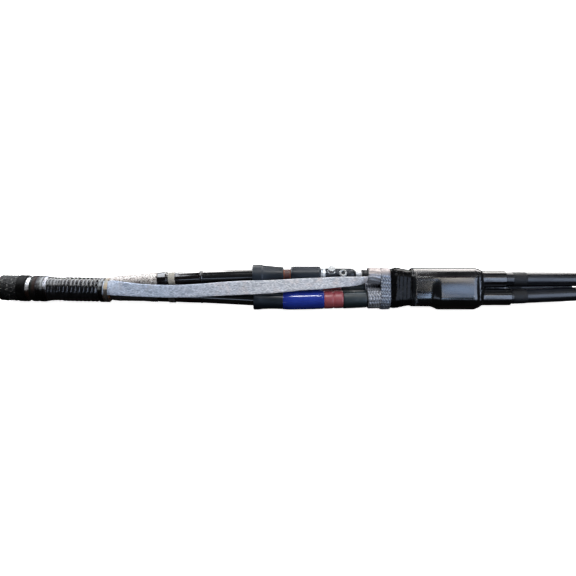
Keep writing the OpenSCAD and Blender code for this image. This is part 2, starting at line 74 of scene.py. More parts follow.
def poly_point(k, x):
    """Centre line of core k (0 top, 1 front, 2 rear) or of the paper cable (3), without rounding at the bends."""
    if k == CABLE:
        return np.stack([x, 0 * x, AXIS_Z + 0.85 + (x + END_X) * math.tan(TILT)], -1)
    line = TOP if k == 0 else LOW
    r = np.interp(x, line[:, 0], line[:, 1])
    z = np.interp(x, RISE[:, 0], RISE[:, 1])
    # beyond the ends the end values hold
    return np.stack([x, -r * math.sin(TURN[k]), AXIS_Z + r * math.cos(TURN[k]) + z], -1)


def centre(k, x):
    x = np.asarray(x, float)
    if k == CABLE:
        return poly_point(k, x)
    out = 0
    for d in np.linspace(-7, 7, 9):
        out = out + poly_point(k, np.clip(x + d, -END_X, END_X)) * [0, 1, 1]
    out = out / 9
    out[..., 0] = x
    # the cut ends keep their exact place
    return out


def axes(k, x):
    """Centre, direction, up and towards-camera axes at x."""
    x = np.asarray(x, float)
    c = centre(k, x)
    t = centre(k, np.minimum(x + 1.5, END_X)) - centre(k, np.maximum(x - 1.5, -END_X))
    t /= np.linalg.norm(t, axis=-1, keepdims=True)
    z = np.zeros_like(t)
    z[..., 2] = 1
    n = z - (z * t).sum(-1, keepdims=True) * t
    n /= np.linalg.norm(n, axis=-1, keepdims=True)
    return c, t, n, np.cross(t, n)


def rng(seed):
    return np.random.RandomState(seed)


def waves(a, b, seed, n=6, fa=1.0, fb=1):
    """Smooth noise from -1 to 1 of a (any length) and b (an angle, so it closes)."""
    r = rng(seed)
    out = 0
    for i in range(n):
        f = fa * r.uniform(.35, 1.5)
        m = r.randint(0, fb + 1)
        out = out + r.uniform(.5, 1) * np.sin(f * a + m * b + r.uniform(0, TAU))
    return out / (0.62 * n)


def lattice(a, b, seed, cells, along=64):
    """Value noise from 0 to 1 on a grid of random numbers. b goes round the piece once in cells steps of 1."""
    g = rng(seed).rand(along, cells)
    ia, ib = np.floor(a).astype(int), np.floor(b).astype(int)
    fa, fb = a - ia, b - ib
    fa, fb = fa * fa * (3 - 2 * fa), fb * fb * (3 - 2 * fb)
    ia, ib, ja, jb = ia % along, ib % cells, (ia + 1) % along, (ib + 1) % cells
    return (g[ia, ib] * (1 - fa) * (1 - fb) + g[ja, ib] * fa * (1 - fb)
            + g[ia, jb] * (1 - fa) * fb + g[ja, jb] * fa * fb)


def smooth01(x):
    x = np.clip(x, 0, 1)
    return x * x * (3 - 2 * x)


# ---------------------------------------------------------------- mesh building

def outward(v, faces):
    """The same faces, turned over if the closed mesh that they make is inside out."""
    if isinstance(faces, np.ndarray):
        a, b, c, d = (v[faces[:, i]] for i in range(4))
        volume = (a * np.cross(b, c)).sum() + (a * np.cross(c, d)).sum()
        return faces if volume > 0 else faces[:, ::-1]
    tri = np.array([(f[0], f[i], f[i + 1]) for f in faces for i in range(1, len(f) - 1)])
    volume = (v[tri[:, 0]] * np.cross(v[tri[:, 1]], v[tri[:, 2]])).sum()
    return faces if volume > 0 else [f[::-1] for f in faces]


def make_object(name, verts_mm, faces, material, replaces=(), relief=None, indices=None, smooth=True):
    """faces: an (n, 4) array of quads, or a list of polygons."""
    me = bpy.data.meshes.new(name)
    v = np.asarray(verts_mm, np.float64).reshape(-1, 3)
    faces = outward(v - v.mean(0), faces)
    v = (v * 0.001).astype(np.float32)
    me.vertices.add(len(v))
    me.vertices.foreach_set("co", v.ravel())
    if isinstance(faces, np.ndarray):
        flat = faces.astype(np.int32).ravel()
        starts = np.arange(0, len(flat), faces.shape[1], dtype=np.int32)
    else:
        flat = np.array([i for f in faces for i in f], np.int32)
        starts = np.cumsum([0] + [len(f) for f in faces[:-1]]).astype(np.int32)
    me.loops.add(len(flat))
    me.loops.foreach_set("vertex_index", flat)
    me.polygons.add(len(starts))
    me.polygons.foreach_set("loop_start", starts)
    me.update(calc_edges=True)
    me.validate()
    me.polygons.foreach_set("use_smooth", [smooth] * len(me.polygons))
    mats = material if isinstance(material, (list, tuple)) else [material]
    for m in mats:
        me.materials.append(m)
    if indices is not None:
        me.polygons.foreach_set("material_index", np.asarray(indices, np.int32))
    if relief is not None:
        at = me.attributes.new("relief", "FLOAT", "POINT")
        at.data.foreach_set("value", np.asarray(relief, np.float32).ravel())
    ob = bpy.data.objects.new(name, me)
    bpy.context.scene.collection.objects.link(ob)
    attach(ob, "root")
    if replaces:
        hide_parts(*replaces)
    return ob


def grid_faces(nr, nc, wrap_r=False, wrap_c=True, base=0):
    """Quads of a grid of nr rings with nc points; the rings run along the piece, the points go round."""
    r = np.arange(nr if wrap_r else nr - 1)
    c = np.arange(nc if wrap_c else nc - 1)
    R, C = np.meshgrid(r, c, indexing="ij")
    R2, C2 = (R + 1) % nr, (C + 1) % nc
    return np.stack([R * nc + C, R2 * nc + C, R2 * nc + C2, R * nc + C2], -1).reshape(-1, 4) + base


def ring_points(k, x, rad, th):
    """x: (n,), rad: (n, m), th: (m,) -> (n, m, 3)"""
    c, t, n, m = axes(k, x)
    return (c[:, None, :] + rad[..., None] * (np.cos(th)[None, :, None] * n[:, None, :]
                                              + np.sin(th)[None, :, None] * m[:, None, :]))


def fillet(points, size=0.45, step=5.0, close=True):
    """Rounds the corners of an [x, r] outline with short chamfers and divides its long sides."""
    p = [np.array(q, float) for q in points]
    n = len(p)
    out = []
    for i in range(n):
        a, b, c = p[i - 1], p[i], p[(i + 1) % n]
        if not close and (i == 0 or i == n - 1):
            out.append(b)
            continue
        la, lc = np.linalg.norm(a - b), np.linalg.norm(c - b)
        da, dc = (a - b) / max(la, 1e-9), (c - b) / max(lc, 1e-9)
        turn = math.acos(max(-1, min(1, -float(da @ dc))))
        if turn < 0.12:
            out.append(b)
            continue
        s = min(size, 0.3 * la, 0.3 * lc)
        e, f = b + da * s, b + dc * s
        out += [b + da * min(s * 2.2, .45 * la), e, (e + f + 2 * b * 0.6) / 3.2, f, b + dc * min(s * 2.2, .45 * lc)]
    q = []
    m = len(out)
    for i in range(m if close else m - 1):
        a, b = out[i], out[(i + 1) % m]
        d = np.linalg.norm(b - a)
        parts = max(1, int(math.ceil(d / step)))
        for j in range(parts):
            q.append(a + (b - a) * j / parts)
    if not close:
        q.append(out[-1])
    return np.array(q)


def lathe(name, k, outer, inner, material, replaces=(), na=72, wob=0.12, seed=1, freq=.05, size=.45, oval=0.0):
    """A turned sleeve: outer and inner are [x, r] from left to right. wob: how uneven the outside is."""
    prof = fillet(list(outer) + list(inner)[::-1], size, 6.0)
    na = min(na, 70)
    th = np.arange(na) / na * TAU
    x, r = prof[:, 0], prof[:, 1]
    mid = np.interp(x, [p[0] for p in outer], [p[1] for p in outer])
    inn = np.interp(x, [p[0] for p in inner], [p[1] for p in inner])
    share = smooth01((r - inn) / np.maximum(mid - inn, .2) * 1.6 - .5)
    A, B = np.meshgrid(x, th, indexing="ij")
    rad = r[:, None] + share[:, None] * (wob * waves(A, B, seed, 7, freq, 3) + oval * np.cos(2 * B + seed))
    P = ring_points(k, x, rad, th)
    return make_object(name, P, grid_faces(len(x), na, True, True), material, replaces)


def tube_field(name, k, xs, th_n, outer_fn, inner_r, material, replaces=(), end_steps=3):
    """A closed sleeve whose outside is outer_fn(X, TH) -> (radius, relief) on a fine grid."""
    th = np.arange(th_n) / th_n * TAU
    A, B = np.meshgrid(xs, th, indexing="ij")
    rad, rel = outer_fn(A, B)
    rows_x, rows_r, rows_h = [xs], [rad], [rel]
    inner = np.full(th_n, float(inner_r))
    for s in np.linspace(0, 1, end_steps + 1)[1:]:
        rows_x.append([xs[-1]])
        rows_r.append((rad[-1] * (1 - s) + inner * s)[None])
        rows_h.append((rel[-1] * (1 - s) * .6)[None])
    rows_x.append([xs[0]])
    rows_r.append(inner[None])
    rows_h.append(inner[None] * 0)
    for s in np.linspace(0, 1, end_steps + 1)[1:-1]:
        rows_x.append([xs[0]])
        rows_r.append((inner * (1 - s) + rad[0] * s)[None])
        rows_h.append((rel[0] * s * .6)[None])
    X = np.concatenate([np.asarray(q, float) for q in rows_x])
    R = np.concatenate(rows_r)
    H = np.concatenate(rows_h)
    P = ring_points(k, X, R, th)
    return make_object(name, P, grid_faces(len(X), th_n, True, True), material, replaces, relief=H)


def tube_along(points, radius_fn, nt, twist=None):
    """A closed tube along points (n, 3) in mm. radius_fn(s, a) gives the radius on the grid."""
    p = np.asarray(points, float)
    t = np.gradient(p, axis=0)
    t /= np.linalg.norm(t, axis=1, keepdims=True)
    s = np.concatenate([[0], np.cumsum(np.linalg.norm(np.diff(p, axis=0), axis=1))])
    up = np.zeros_like(p)
    up[0] = np.cross(t[0], [0.13, 0.4, 0.9])
    up[0] /= np.linalg.norm(up[0])
    for i in range(1, len(p)):
        u = up[i - 1] - (up[i - 1] @ t[i]) * t[i]
        up[i] = u / np.linalg.norm(u)
    side = np.cross(t, up)
    a = np.arange(nt) / nt * TAU
    S, A = np.meshgrid(s, a, indexing="ij")
    R = radius_fn(S, A)
    P = p[:, None] + R[..., None] * (np.cos(A)[..., None] * up[:, None] + np.sin(A)[..., None] * side[:, None])
    return P


def tube_faces(n, nt, base=0):
    f = [list(q) for q in grid_faces(n, nt, False, True, base)]
    f.append([base + i for i in range(nt)])
    f.append([base + (n - 1) * nt + i for i in range(nt - 1, -1, -1)])
    return f


# ---------------------------------------------------------------- materials

class Mat:
    def __init__(self, name, **sockets):
        self.m = bpy.data.materials.new(name)
        self.m.use_nodes = True
        self.t = self.m.node_tree
        self.t.nodes.clear()
        self.out = self.new("ShaderNodeOutputMaterial")
        self.b = self.new("ShaderNodeBsdfPrincipled")
        self.link(self.b.outputs[0], self.out.inputs[0])
        self.set(**sockets)
        self.obj = self.new("ShaderNodeTexCoord").outputs["Object"]

    def new(self, kind, **props):
        n = self.t.nodes.new(kind)
        for key, value in props.items():
            setattr(n, key, value)
        return n

    def link(self, a, b):
        self.t.links.new(a, b)

    def put(self, value, socket):
        if hasattr(value, "is_output"):
            self.link(value, socket)
        elif isinstance(value, (tuple, list)) and len(value) == 3 and socket.type == "RGBA":
            socket.default_value = (*value, 1.0)
        else:
            socket.default_value = value

    def set(self, **sockets):
        for key, value in sockets.items():
            self.put(value, self.b.inputs[key.replace("_", " ")])

    def mapped(self, scale=(1, 1, 1), rot=(0, 0, 0)):
        n = self.new("ShaderNodeMapping")
        n.inputs["Scale"].default_value = scale
        n.inputs["Rotation"].default_value = rot
        self.link(self.obj, n.inputs["Vector"])
        return n.outputs[0]

    def noise(self, scale, stretch=(1, 1, 1), detail=3.0, rough=.55, distortion=0.0):
        n = self.new("ShaderNodeTexNoise")
        n.inputs["Scale"].default_value = scale
        n.inputs["Detail"].default_value = detail
        n.inputs["Roughness"].default_value = rough
        n.inputs["Distortion"].default_value = distortion
        self.link(self.mapped(stretch), n.inputs["Vector"])
        return n.outputs["Fac"]

    def voronoi(self, scale, stretch=(1, 1, 1), feature="F1"):
        n = self.new("ShaderNodeTexVoronoi", feature=feature)
        n.inputs["Scale"].default_value = scale
        self.link(self.mapped(stretch), n.inputs["Vector"])
        return n.outputs["Distance"]

    def attr(self, name="relief"):
        n = self.new("ShaderNodeAttribute")
        n.attribute_name = name
        return n.outputs["Fac"]

    def ramp(self, fac, *stops):
        n = self.new("ShaderNodeValToRGB")
        e = n.color_ramp.elements
        while len(e) < len(stops):
            e.new(0.5)
        for el, (pos, col) in zip(e, stops):
            el.position = pos
            el.color = (*col, 1) if len(col) == 3 else col
        self.link(fac, n.inputs["Fac"])
        return n.outputs["Color"]

    def span(self, fac, lo, hi, a=0.0, b=1.0):
        n = self.new("ShaderNodeMapRange")
        self.put(fac, n.inputs["Value"])
        n.inputs["From Min"].default_value = lo
        n.inputs["From Max"].default_value = hi
        n.inputs["To Min"].default_value = a
        n.inputs["To Max"].default_value = b
        return n.outputs["Result"]

    def math(self, op, a, b=0.0, c=0.0):
        n = self.new("ShaderNodeMath", operation=op)
        self.put(a, n.inputs[0])
        self.put(b, n.inputs[1])
        if len(n.inputs) > 2:
            self.put(c, n.inputs[2])
        return n.outputs[0]

    def mix(self, fac, a, b):
        n = self.new("ShaderNodeMix", data_type="RGBA")
        self.put(fac, n.inputs[0])
        self.put(a, n.inputs[6])
        self.put(b, n.inputs[7])
        return n.outputs[2]

    def xyz(self):
        n = self.new("ShaderNodeSeparateXYZ")
        self.link(self.obj, n.inputs[0])
        return n.outputs

    def painted_low_shade(self, colour, low, high, amount=1.0, tone=(11, 9, 8)):
        """Painted shade: darkens the lower side towards a dark tone, up to a ragged edge between two heights."""
        z = self.xyz()[2]
        ragged = self.span(self.noise(160, (1, 1, 1), 3, .6), .3, .7, -.004, .004)
        return self.mix(self.span(self.math("ADD", z, ragged), low, high, amount, 0), colour, lin(*tone))

    def bump(self, height, strength=.3, distance=.001, normal=None):
        n = self.new("ShaderNodeBump")
        n.inputs["Strength"].default_value = strength
        n.inputs["Distance"].default_value = distance
        self.link(height, n.inputs["Height"])
        if normal is not None:
            self.link(normal, n.inputs["Normal"])
        self.link(n.outputs[0], self.b.inputs["Normal"])
        return n.outputs[0]


def lin(*c):
    """A colour given as 0 to 255 on screen, as the linear values that a shader takes."""
    return tuple((v / 255 / 12.92) if v <= 10 else (((v / 255) + .055) / 1.055) ** 2.4 for v in c)


def polymer(name, col, col2, rough=(.22, .38), spec=.5, coat=0.0, grain=.25, streak=.35, ior=1.5):
    """Moulded or shrunk polymer: two shades in clouds, long draw lines, a fine grain and dusty patches in the gloss."""
    m = Mat(name, Specular_IOR_Level=spec, Coat_Weight=coat, Coat_Roughness=.12, IOR=ior)
    cloud = m.noise(14, (1, 1, 1), 4, .6)
    lines = m.noise(60, (.05, 1, 1), 3, .6)
    dust = m.noise(420, (1, 1, 1), 2, .5)
    m.set(Base_Color=m.mix(m.span(cloud, .35, .7), col, col2))
    r = m.math("ADD", m.span(cloud, .3, .75, rough[0], rough[1]), m.span(lines, .35, .7, -.05, .07))
    m.set(Roughness=m.math("ADD", r, m.span(dust, .5, .8, 0, .08)))
    n1 = m.bump(lines, streak * .35, .0004)
    m.bump(dust, grain * .3, .0001, n1)
    return m.m


def tinned(name, light, dark, rough=.36, wires=1800, metallic=.8, warm=None, stretch=(.04, 1, 1), blue=False, painted_low_shade=None, fleck=None, spec=.5, browner_top=False):
    """Tinned copper wire: light on the wires' backs and dark between them, the dark being painted shade in the hollows,
    with some copper showing through.
    """
    m = Mat(name, Metallic=metallic, Specular_IOR_Level=spec)
    h = m.attr()
    wire = m.noise(wires, stretch, 2, .5)
    patch = m.noise(45, (1, 1, 1), 3, .6)
    # colour from the relief: dark in the hollows between wires and floats, light on their backs; the dark is painted
    # shade
    c = m.mix(m.span(h, .1, .8), dark, light)
    c = m.mix(m.span(wire, .35, .62, .5, 0), c, dark)
    if warm is not None:
        c = m.mix(m.span(patch, .52, .66, 0, .4), c, warm)
    if fleck is not None:
        dull = m.noise(560, (.28, 1, 1), 2, .5)
        c = m.mix(m.span(dull, .47, .60, 0, .75), c, fleck)
    if blue:
        # the tin has dulled to a blue-grey towards the paper cable
        n = m.new("ShaderNodeMix", data_type="RGBA", blend_type="MULTIPLY")
        m.put(m.span(m.xyz()[0], -.30, -.05, 1, 0), n.inputs[0])
        m.put(c, n.inputs[6])
        m.put((.66, .74, .86), n.inputs[7])
        c = n.outputs[2]
    if browner_top:
        # browner towards the top
        z = m.math("ADD", m.xyz()[2], m.span(patch, .3, .7, -.003, .003))
        c = m.mix(m.span(z, .083, .092, 0, .6), c, lin(152, 136, 126))
    if painted_low_shade is not None:
        # bitumen from the end tape has smeared over the wires beside it
        smear = m.math("ADD", m.xyz()[0], m.span(m.noise(240, (1, 1, 1), 3, .6), .3, .7, -.004, .004))
        c = m.mix(m.span(smear, -.589, -.584, .92, 0), c, lin(15, 11, 9))
        # painted shade: the lower side darkened up to the given heights
        c = m.painted_low_shade(c, *painted_low_shade)
    m.set(Base_Color=c)
    m.set(Roughness=m.math("ADD", m.span(patch, .3, .7, rough - .08, rough + .1), m.span(h, 0, 1, .12, -.02)))
    m.bump(wire, .55, .0003)
    return m.m


MAT = {}


def build_materials():
    m = Mat("jute_bitumen", Specular_IOR_Level=.18)
    h, f, g = m.attr(), m.noise(1400, (.25, 1, 1), 3, .6), m.noise(60, (1, 1, 1), 4, .65)
    # colour from the relief: near black low down and pale grey on the raised yarns and loose tufts; the pale grey is
    # partly loose fibre and partly painted highlight
    c = m.ramp(h, (0, lin(7, 7, 7)), (.45, lin(17, 17, 17)), (.7, lin(66, 67, 66)), (1, lin(164, 165, 162)))
    c = m.mix(m.span(g, .45, .62, 0, .7), c, lin(16, 16, 16))
    c = m.mix(m.span(f, .66, .8, 0, .3), c, lin(150, 148, 142))
    m.set(Base_Color=c, Roughness=m.span(g, .3, .7, .3, .7))
    m.bump(f, .7, .0006)
    MAT["jute"] = m.m

    m = Mat("serving_end_tape", Specular_IOR_Level=.04)
    g, f = m.noise(120, (1, 1, 1), 4, .6), m.noise(900, (1, 1, 1), 2, .5)
    m.set(Base_Color=m.mix(m.span(g, .4, .7), lin(6, 6, 6), lin(16, 16, 16)), Roughness=m.span(g, .3, .7, .3, .5))
    m.bump(f, .3, .0003)
    MAT["serving_tape"] = m.m

    m = Mat("galvanised_armour", Metallic=.5, Specular_IOR_Level=.6)
    g, f = m.voronoi(260), m.noise(500, (.2, 1, 1), 3, .6)
    c = m.mix(m.span(g, .1, .7), lin(216, 218, 220), lin(158, 160, 162))
    # painted shade: the lower side darkens to brown-black below a ragged edge
    c = m.painted_low_shade(m.mix(m.span(f, .46, .6, 0, .8), c, lin(62, 56, 50)), .050, .056, 1, (40, 26, 20))
    m.set(Base_Color=c, Roughness=m.span(f, .3, .7, .22, .42))
    m.bump(g, .12, .0004)
    MAT["galvanised_steel"] = m.m

    m = Mat("armour_bedding", Specular_IOR_Level=.3)
    f = m.noise(900, (.3, 1, 1), 3, .6)
    m.set(Base_Color=m.mix(m.span(f, .3, .7), lin(30, 26, 22), lin(70, 58, 46)), Roughness=.8)
    m.bump(f, .5, .0005)
    MAT["bedding"] = m.m

    m = Mat("lead", Metallic=.6, Specular_IOR_Level=.5)
    f, g = m.noise(300, (1, 1, 1), 4, .6), m.noise(1500, (.1, 1, 1), 2, .5)
    m.set(Base_Color=m.mix(m.span(f, .35, .7), lin(120, 124, 130), lin(164, 168, 174)), Roughness=m.span(g, .3, .7, .35, .6))
    m.bump(g, .2, .0003)
    MAT["lead"] = m.m

    m = Mat("belt_paper", Specular_IOR_Level=.35)
    f, g = m.noise(700, (.5, 1, 1), 4, .65), m.voronoi(900)
    m.set(Base_Color=m.mix(m.span(f, .3, .7), lin(120, 88, 50), lin(176, 138, 88)), Roughness=m.span(g, 0, .6, .5, .8))
    m.bump(f, .5, .0004)
    MAT["paper"] = m.m

    m = Mat("core_paper", Specular_IOR_Level=.35)
    f = m.noise(1100, (.5, 1, 1), 4, .65)
    m.set(Base_Color=m.mix(m.span(f, .3, .7), lin(92, 60, 34), lin(140, 98, 60)), Roughness=m.span(f, .3, .7, .5, .75))
    m.bump(f, .5, .0003)
    MAT["paper_core"] = m.m

    m = Mat("rubber_tape", Specular_IOR_Level=.45, Coat_Weight=.1, Coat_Roughness=.2)
    h, g, f = m.attr(), m.noise(75, (1, 1, 1), 4, .6), m.noise(1300, (1, .3, .3), 2, .5)
    c = m.mix(m.span(g, .4, .72), lin(9, 10, 11), lin(24, 25, 28))
    # the grooves between laps darkened from the relief: painted shade
    c = m.mix(m.span(h, .0, .5, .8, 0), c, lin(3, 3, 3))
    taper = m.span(m.xyz()[0], -.545, -.538, .06, 0)
    m.set(Base_Color=c, Roughness=m.math("ADD", taper, m.span(g, .3, .7, .12, .22)))
    m.bump(f, .25, .0003)
    MAT["rubber_tape"] = m.m

    m = Mat("armour_end_tape", Specular_IOR_Level=.1)
    g, f = m.noise(140, (1, 1, 1), 4, .6), m.noise(1500, (1, 1, 1), 2, .5)
    c = m.mix(m.span(g, .35, .7), lin(7, 10, 8), lin(18, 23, 18))
    rust = m.math("MULTIPLY", m.span(m.xyz()[0], -.6045, -.6005), m.span(f, .4, .55, .5, 1))
    # painted shade: the lower side darkened below a ragged edge
    m.set(Base_Color=m.painted_low_shade(m.mix(rust, c, lin(36, 22, 18)), .046, .056), Roughness=m.span(g, .3, .7, .34, .58))
    m.bump(f, .3, .0003)
    MAT["end_tape"] = m.m

    m = Mat("spring_steel", Metallic=.5, Specular_IOR_Level=.1)
    g, f = m.noise(80, (1, 1, 1), 3, .6), m.noise(2200, (1, .03, .03), 2, .5)
    c = m.mix(m.span(g, .35, .7), lin(74, 76, 78), lin(116, 118, 119))
    grime = m.math("MULTIPLY", m.span(m.xyz()[0], -.585, -.581, .9, 0), m.span(m.noise(300, (1, 1, 1), 3, .6), .36, .6, 1, .5))
    c = m.mix(grime, c, lin(20, 15, 12))
    # painted shade: the lower side darkened below a ragged edge
    m.set(Base_Color=m.painted_low_shade(c, .052, .060), Roughness=m.span(g, .3, .7, .34, .5))
    m.bump(f, .25, .0002)
    MAT["spring_steel"] = m.m

    MAT["tinned_braid"] = tinned("earth_braid_wire", lin(250, 251, 254), lin(166, 171, 182), .36, 2600, .2, lin(222, 204, 196), blue=True, fleck=lin(150, 155, 165))
    MAT["bond_braid"] = tinned("bond_braid_wire", lin(196, 200, 210), lin(40, 34, 32), .34, 2600, .4, lin(150, 112, 88), (1, 1, 1), painted_low_shade=(.054, .060), spec=.1)
    MAT["cuff_braid"] = tinned("cuff_braid_wire", lin(172, 176, 186), lin(16, 18, 22), .3, 2600, .4, browner_top=True)
    MAT["band_braid"] = tinned("band_braid_wire", lin(146, 155, 171), lin(14, 17, 22), .32, 2600, .4, browner_top=True)

    # the second copy is the same mesh made much darker, for the front and rear cores: painted shade on their shaded
    # sides
    for key, name, mesh_cols, warm in (("tinned_mesh", "knitted_mesh", ((74, 66, 62), (146, 141, 138), (212, 209, 205)), (168, 144, 136)),
                                       ("painted_shade_mesh", "knitted_mesh_painted_shade", ((6, 5, 5), (16, 15, 15), (46, 42, 41)), (40, 28, 24))):
        m = Mat(name, Metallic=.2, Specular_IOR_Level=.5)
        h, g, f = m.attr(), m.noise(110, (1, 1, 1), 4, .65), m.noise(2600, (1, 1, 1), 2, .5)
        spots = m.noise(440, (.7, 1, 1), 2, .5)
        # colour from the relief: dark in the hollows between the loops, light on their backs; the dark is painted shade
        c = m.ramp(h, (0, lin(*mesh_cols[0])), (.4, lin(*mesh_cols[1])), (1, lin(*mesh_cols[2])))
        c = m.mix(m.span(g, .45, .7, 0, .5), c, lin(*warm))
        c = m.mix(m.span(spots, .49, .60, 0, .9), c, lin(*mesh_cols[0]))
        m.set(Base_Color=c, Roughness=m.span(g, .3, .7, .4, .62))
        m.bump(f, .5, .0003)
        MAT[key] = m.m

    m = Mat("cream_cord", Specular_IOR_Level=.4)
    h, f, g = m.attr(), m.noise(2400, (1, 1, 1), 3, .6), m.noise(130, (1, 1, 1), 3, .6)
    # colour from the relief: dark between the twisted strands, light on their backs; the dark is painted shade
    c = m.ramp(h, (0, lin(52, 49, 45)), (.45, lin(168, 166, 158)), (1, lin(222, 220, 213)))
    warm = m.math("MULTIPLY", m.span(g, .45, .6, 0, .5), m.span(m.xyz()[0], -.42, -.40, 1, .2))
    c = m.mix(warm, c, lin(188, 152, 92))
    # painted shade: the cord's lower side darkened below a ragged edge
    m.set(Base_Color=m.painted_low_shade(c, .050, .056, .94, (30, 24, 20)), Roughness=m.span(f, .3, .7, .55, .8))
    m.bump(f, .6, .0003)
    MAT["cord"] = m.m

    m = Mat("crutch_mastic", Specular_IOR_Level=.55, Coat_Weight=.2, Coat_Roughness=.25)
    f, g = m.noise(200, (1, 1, 1), 4, .6), m.noise(40, (1, 1, 1), 3, .6)
    m.set(Base_Color=m.mix(m.span(g, .35, .7), lin(48, 30, 22), lin(104, 68, 46)), Roughness=m.span(f, .3, .7, .25, .5))
    m.bump(f, .6, .0012)
    MAT["mastic"] = m.m

    m = Mat("copper_strand", Metallic=.9, Specular_IOR_Level=.5)
    h, f = m.attr(), m.noise(1800, (.1, 1, 1), 3, .6)
    # colour from the relief: dark between the wires, bright on their backs and the wire ends; the dark is painted shade
    c = m.mix(m.span(h, .1, .8), lin(74, 40, 24), lin(214, 142, 100))
    m.set(Base_Color=m.mix(m.span(f, .5, .75, 0, .5), c, lin(160, 96, 66)), Roughness=m.span(f, .3, .7, .26, .42))
    m.bump(f, .3, .0002)
    MAT["copper"] = m.m

    m = Mat("aluminium_strand", Metallic=.5, Specular_IOR_Level=.5)
    h, f = m.attr(), m.noise(1800, (.1, 1, 1), 3, .6)
    # colour from the relief: dark between the wires, bright on their backs and the wire ends; the dark is painted shade
    c = m.mix(m.span(h, .1, .8), lin(50, 52, 56), lin(176, 178, 182))
    m.set(Base_Color=c, Roughness=m.span(f, .3, .7, .28, .45))
    m.bump(f, .3, .0002)
    MAT["bare_aluminium"] = m.m

    MAT["oil_barrier"] = polymer("oil_barrier_tube", lin(9, 6, 5), lin(24, 14, 11), (.1, .2), .6, .3, .15, .06)
    MAT["stress_black"] = polymer("stress_control_tube", lin(8, 9, 9), lin(17, 18, 19), (.1, .2), .6, .3, .15, .06)
    MAT["cone_grey"] = polymer("stress_cone_sleeve", lin(12, 18, 26), lin(21, 30, 41), (.3, .46), .4, 0, .25, .1)
    MAT["dark_sleeve"] = polymer("upper_end_sleeve", lin(17, 23, 31), lin(27, 35, 46), (.28, .44), .4, 0, .25, .1)
    MAT["green_grey_sleeve"] = polymer("lower_end_sleeve", lin(18, 27, 30), lin(32, 43, 48), (.24, .38), .45, 0, .25, .1)
    MAT["blue_sleeve"] = polymer("joint_sleeve_blue", lin(20, 36, 122), lin(33, 56, 154), (.08, .15), .6, .25, .2, .1)
    MAT["red_tube"] = polymer("insulating_tube_red", lin(126, 52, 62), lin(152, 74, 80), (.24, .36), .5, 0, .3, .2)
    MAT["core_black"] = polymer("core_screen_black", lin(12, 12, 13), lin(28, 28, 30), (.35, .5), .4)
    MAT["cable_black"] = polymer("cable_sheath_black", lin(8, 10, 15), lin(15, 18, 27), (.26, .36), .5, 0, .25, .15)
    MAT["boot_black"] = polymer("boot_moulding", lin(5, 5, 6), lin(12, 13, 15), (.14, .24), .6, .25, .12, .1)

    m = Mat("insulating_tube_brown", Specular_IOR_Level=.45)
    x = m.xyz()[0]
    g, f = m.noise(90, (1, 1, 1), 4, .6), m.noise(900, (1, 1, 1), 2, .5)
    edge = m.math("MAXIMUM", m.span(x, -.0102, -.0076, 1, 0), m.span(x, .0036, .0060, 0, 1))
    c = m.mix(m.span(g, .35, .7), lin(58, 32, 30), lin(88, 52, 48))
    m.set(Base_Color=m.mix(edge, c, lin(150, 80, 40)), Roughness=m.span(g, .3, .7, .34, .5))
    m.bump(f, .2, .0003)
    MAT["red_brown_tube"] = m.m

    m = Mat("xlpe_end", Specular_IOR_Level=.4, Subsurface_Weight=.0)
    f = m.noise(500, (1, 1, 1), 4, .6)
    m.set(Base_Color=m.mix(m.span(f, .3, .7), lin(206, 204, 196), lin(230, 228, 222)), Roughness=m.span(f, .3, .7, .4, .6))
    m.bump(f, .3, .0002)
    MAT["xlpe"] = m.m

    # the connector is bare where it is turned and at its spot-faces, and dull elsewhere
    m = Mat("connector_metal", Metallic=.45, Specular_IOR_Level=.5)
    X, Y, Z = m.xyz()
    zc = m.math("MULTIPLY_ADD", X, .5 / 173, .0424 + .0358)
    dz = m.math("SUBTRACT", Z, zc)
    rr = m.math("SQRT", m.math("ADD", m.math("MULTIPLY", Y, Y), m.math("MULTIPLY", dz, dz)))
    g, f = m.noise(120, (1, 1, 1), 4, .65), m.noise(2600, (.3, .02, .02), 2, .5)
    marks = m.noise(700, (.08, 1, 1), 3, .6)
    spots = m.math("MULTIPLY", m.span(rr, .0146, .0151, 1, 0), m.span(X, .1455, .1465, 1, 0))
    bare = m.math("MAXIMUM", m.span(X, .0865, .0885, 1, 0), spots)
    dark = m.mix(m.span(g, .35, .7), lin(13, 16, 20), lin(32, 37, 45))
    dark = m.mix(m.span(marks, .60, .70, 0, .6), dark, lin(130, 136, 144))
    groove = m.math("MULTIPLY", m.span(X, .0795, .0802), m.span(X, .0806, .0813, 1, 0))
    turned = m.mix(groove, lin(204, 210, 215), lin(56, 60, 66))
    m.set(Base_Color=m.mix(bare, dark, turned), Roughness=m.span(g, .3, .7, .26, .44))
    m.bump(f, .35, .0002)
    MAT["connector_metal"] = m.m

    m = Mat("bolt_metal", Metallic=.5, Specular_IOR_Level=.5)
    g, f = m.noise(300, (1, 1, 1), 4, .65), m.noise(1600, (1, 1, 1), 3, .6)
    m.set(Base_Color=m.mix(m.span(g, .35, .7), lin(138, 140, 141), lin(184, 186, 186)), Roughness=m.span(g, .3, .7, .3, .5))
    m.bump(f, .3, .0002)
    MAT["bolt_metal"] = m.m

    # a much darker copy of the bolt metal for the recess faces: painted shade in the recess
    m = Mat("bolt_recess_painted_shade", Metallic=.5, Specular_IOR_Level=.4)
    f = m.noise(900, (1, 1, 1), 3, .6)
    m.set(Base_Color=m.mix(m.span(f, .3, .7), lin(26, 27, 29), lin(66, 67, 70)), Roughness=.5)
    m.bump(f, .3, .0002)
    MAT["bolt_recess_painted_shade"] = m.m

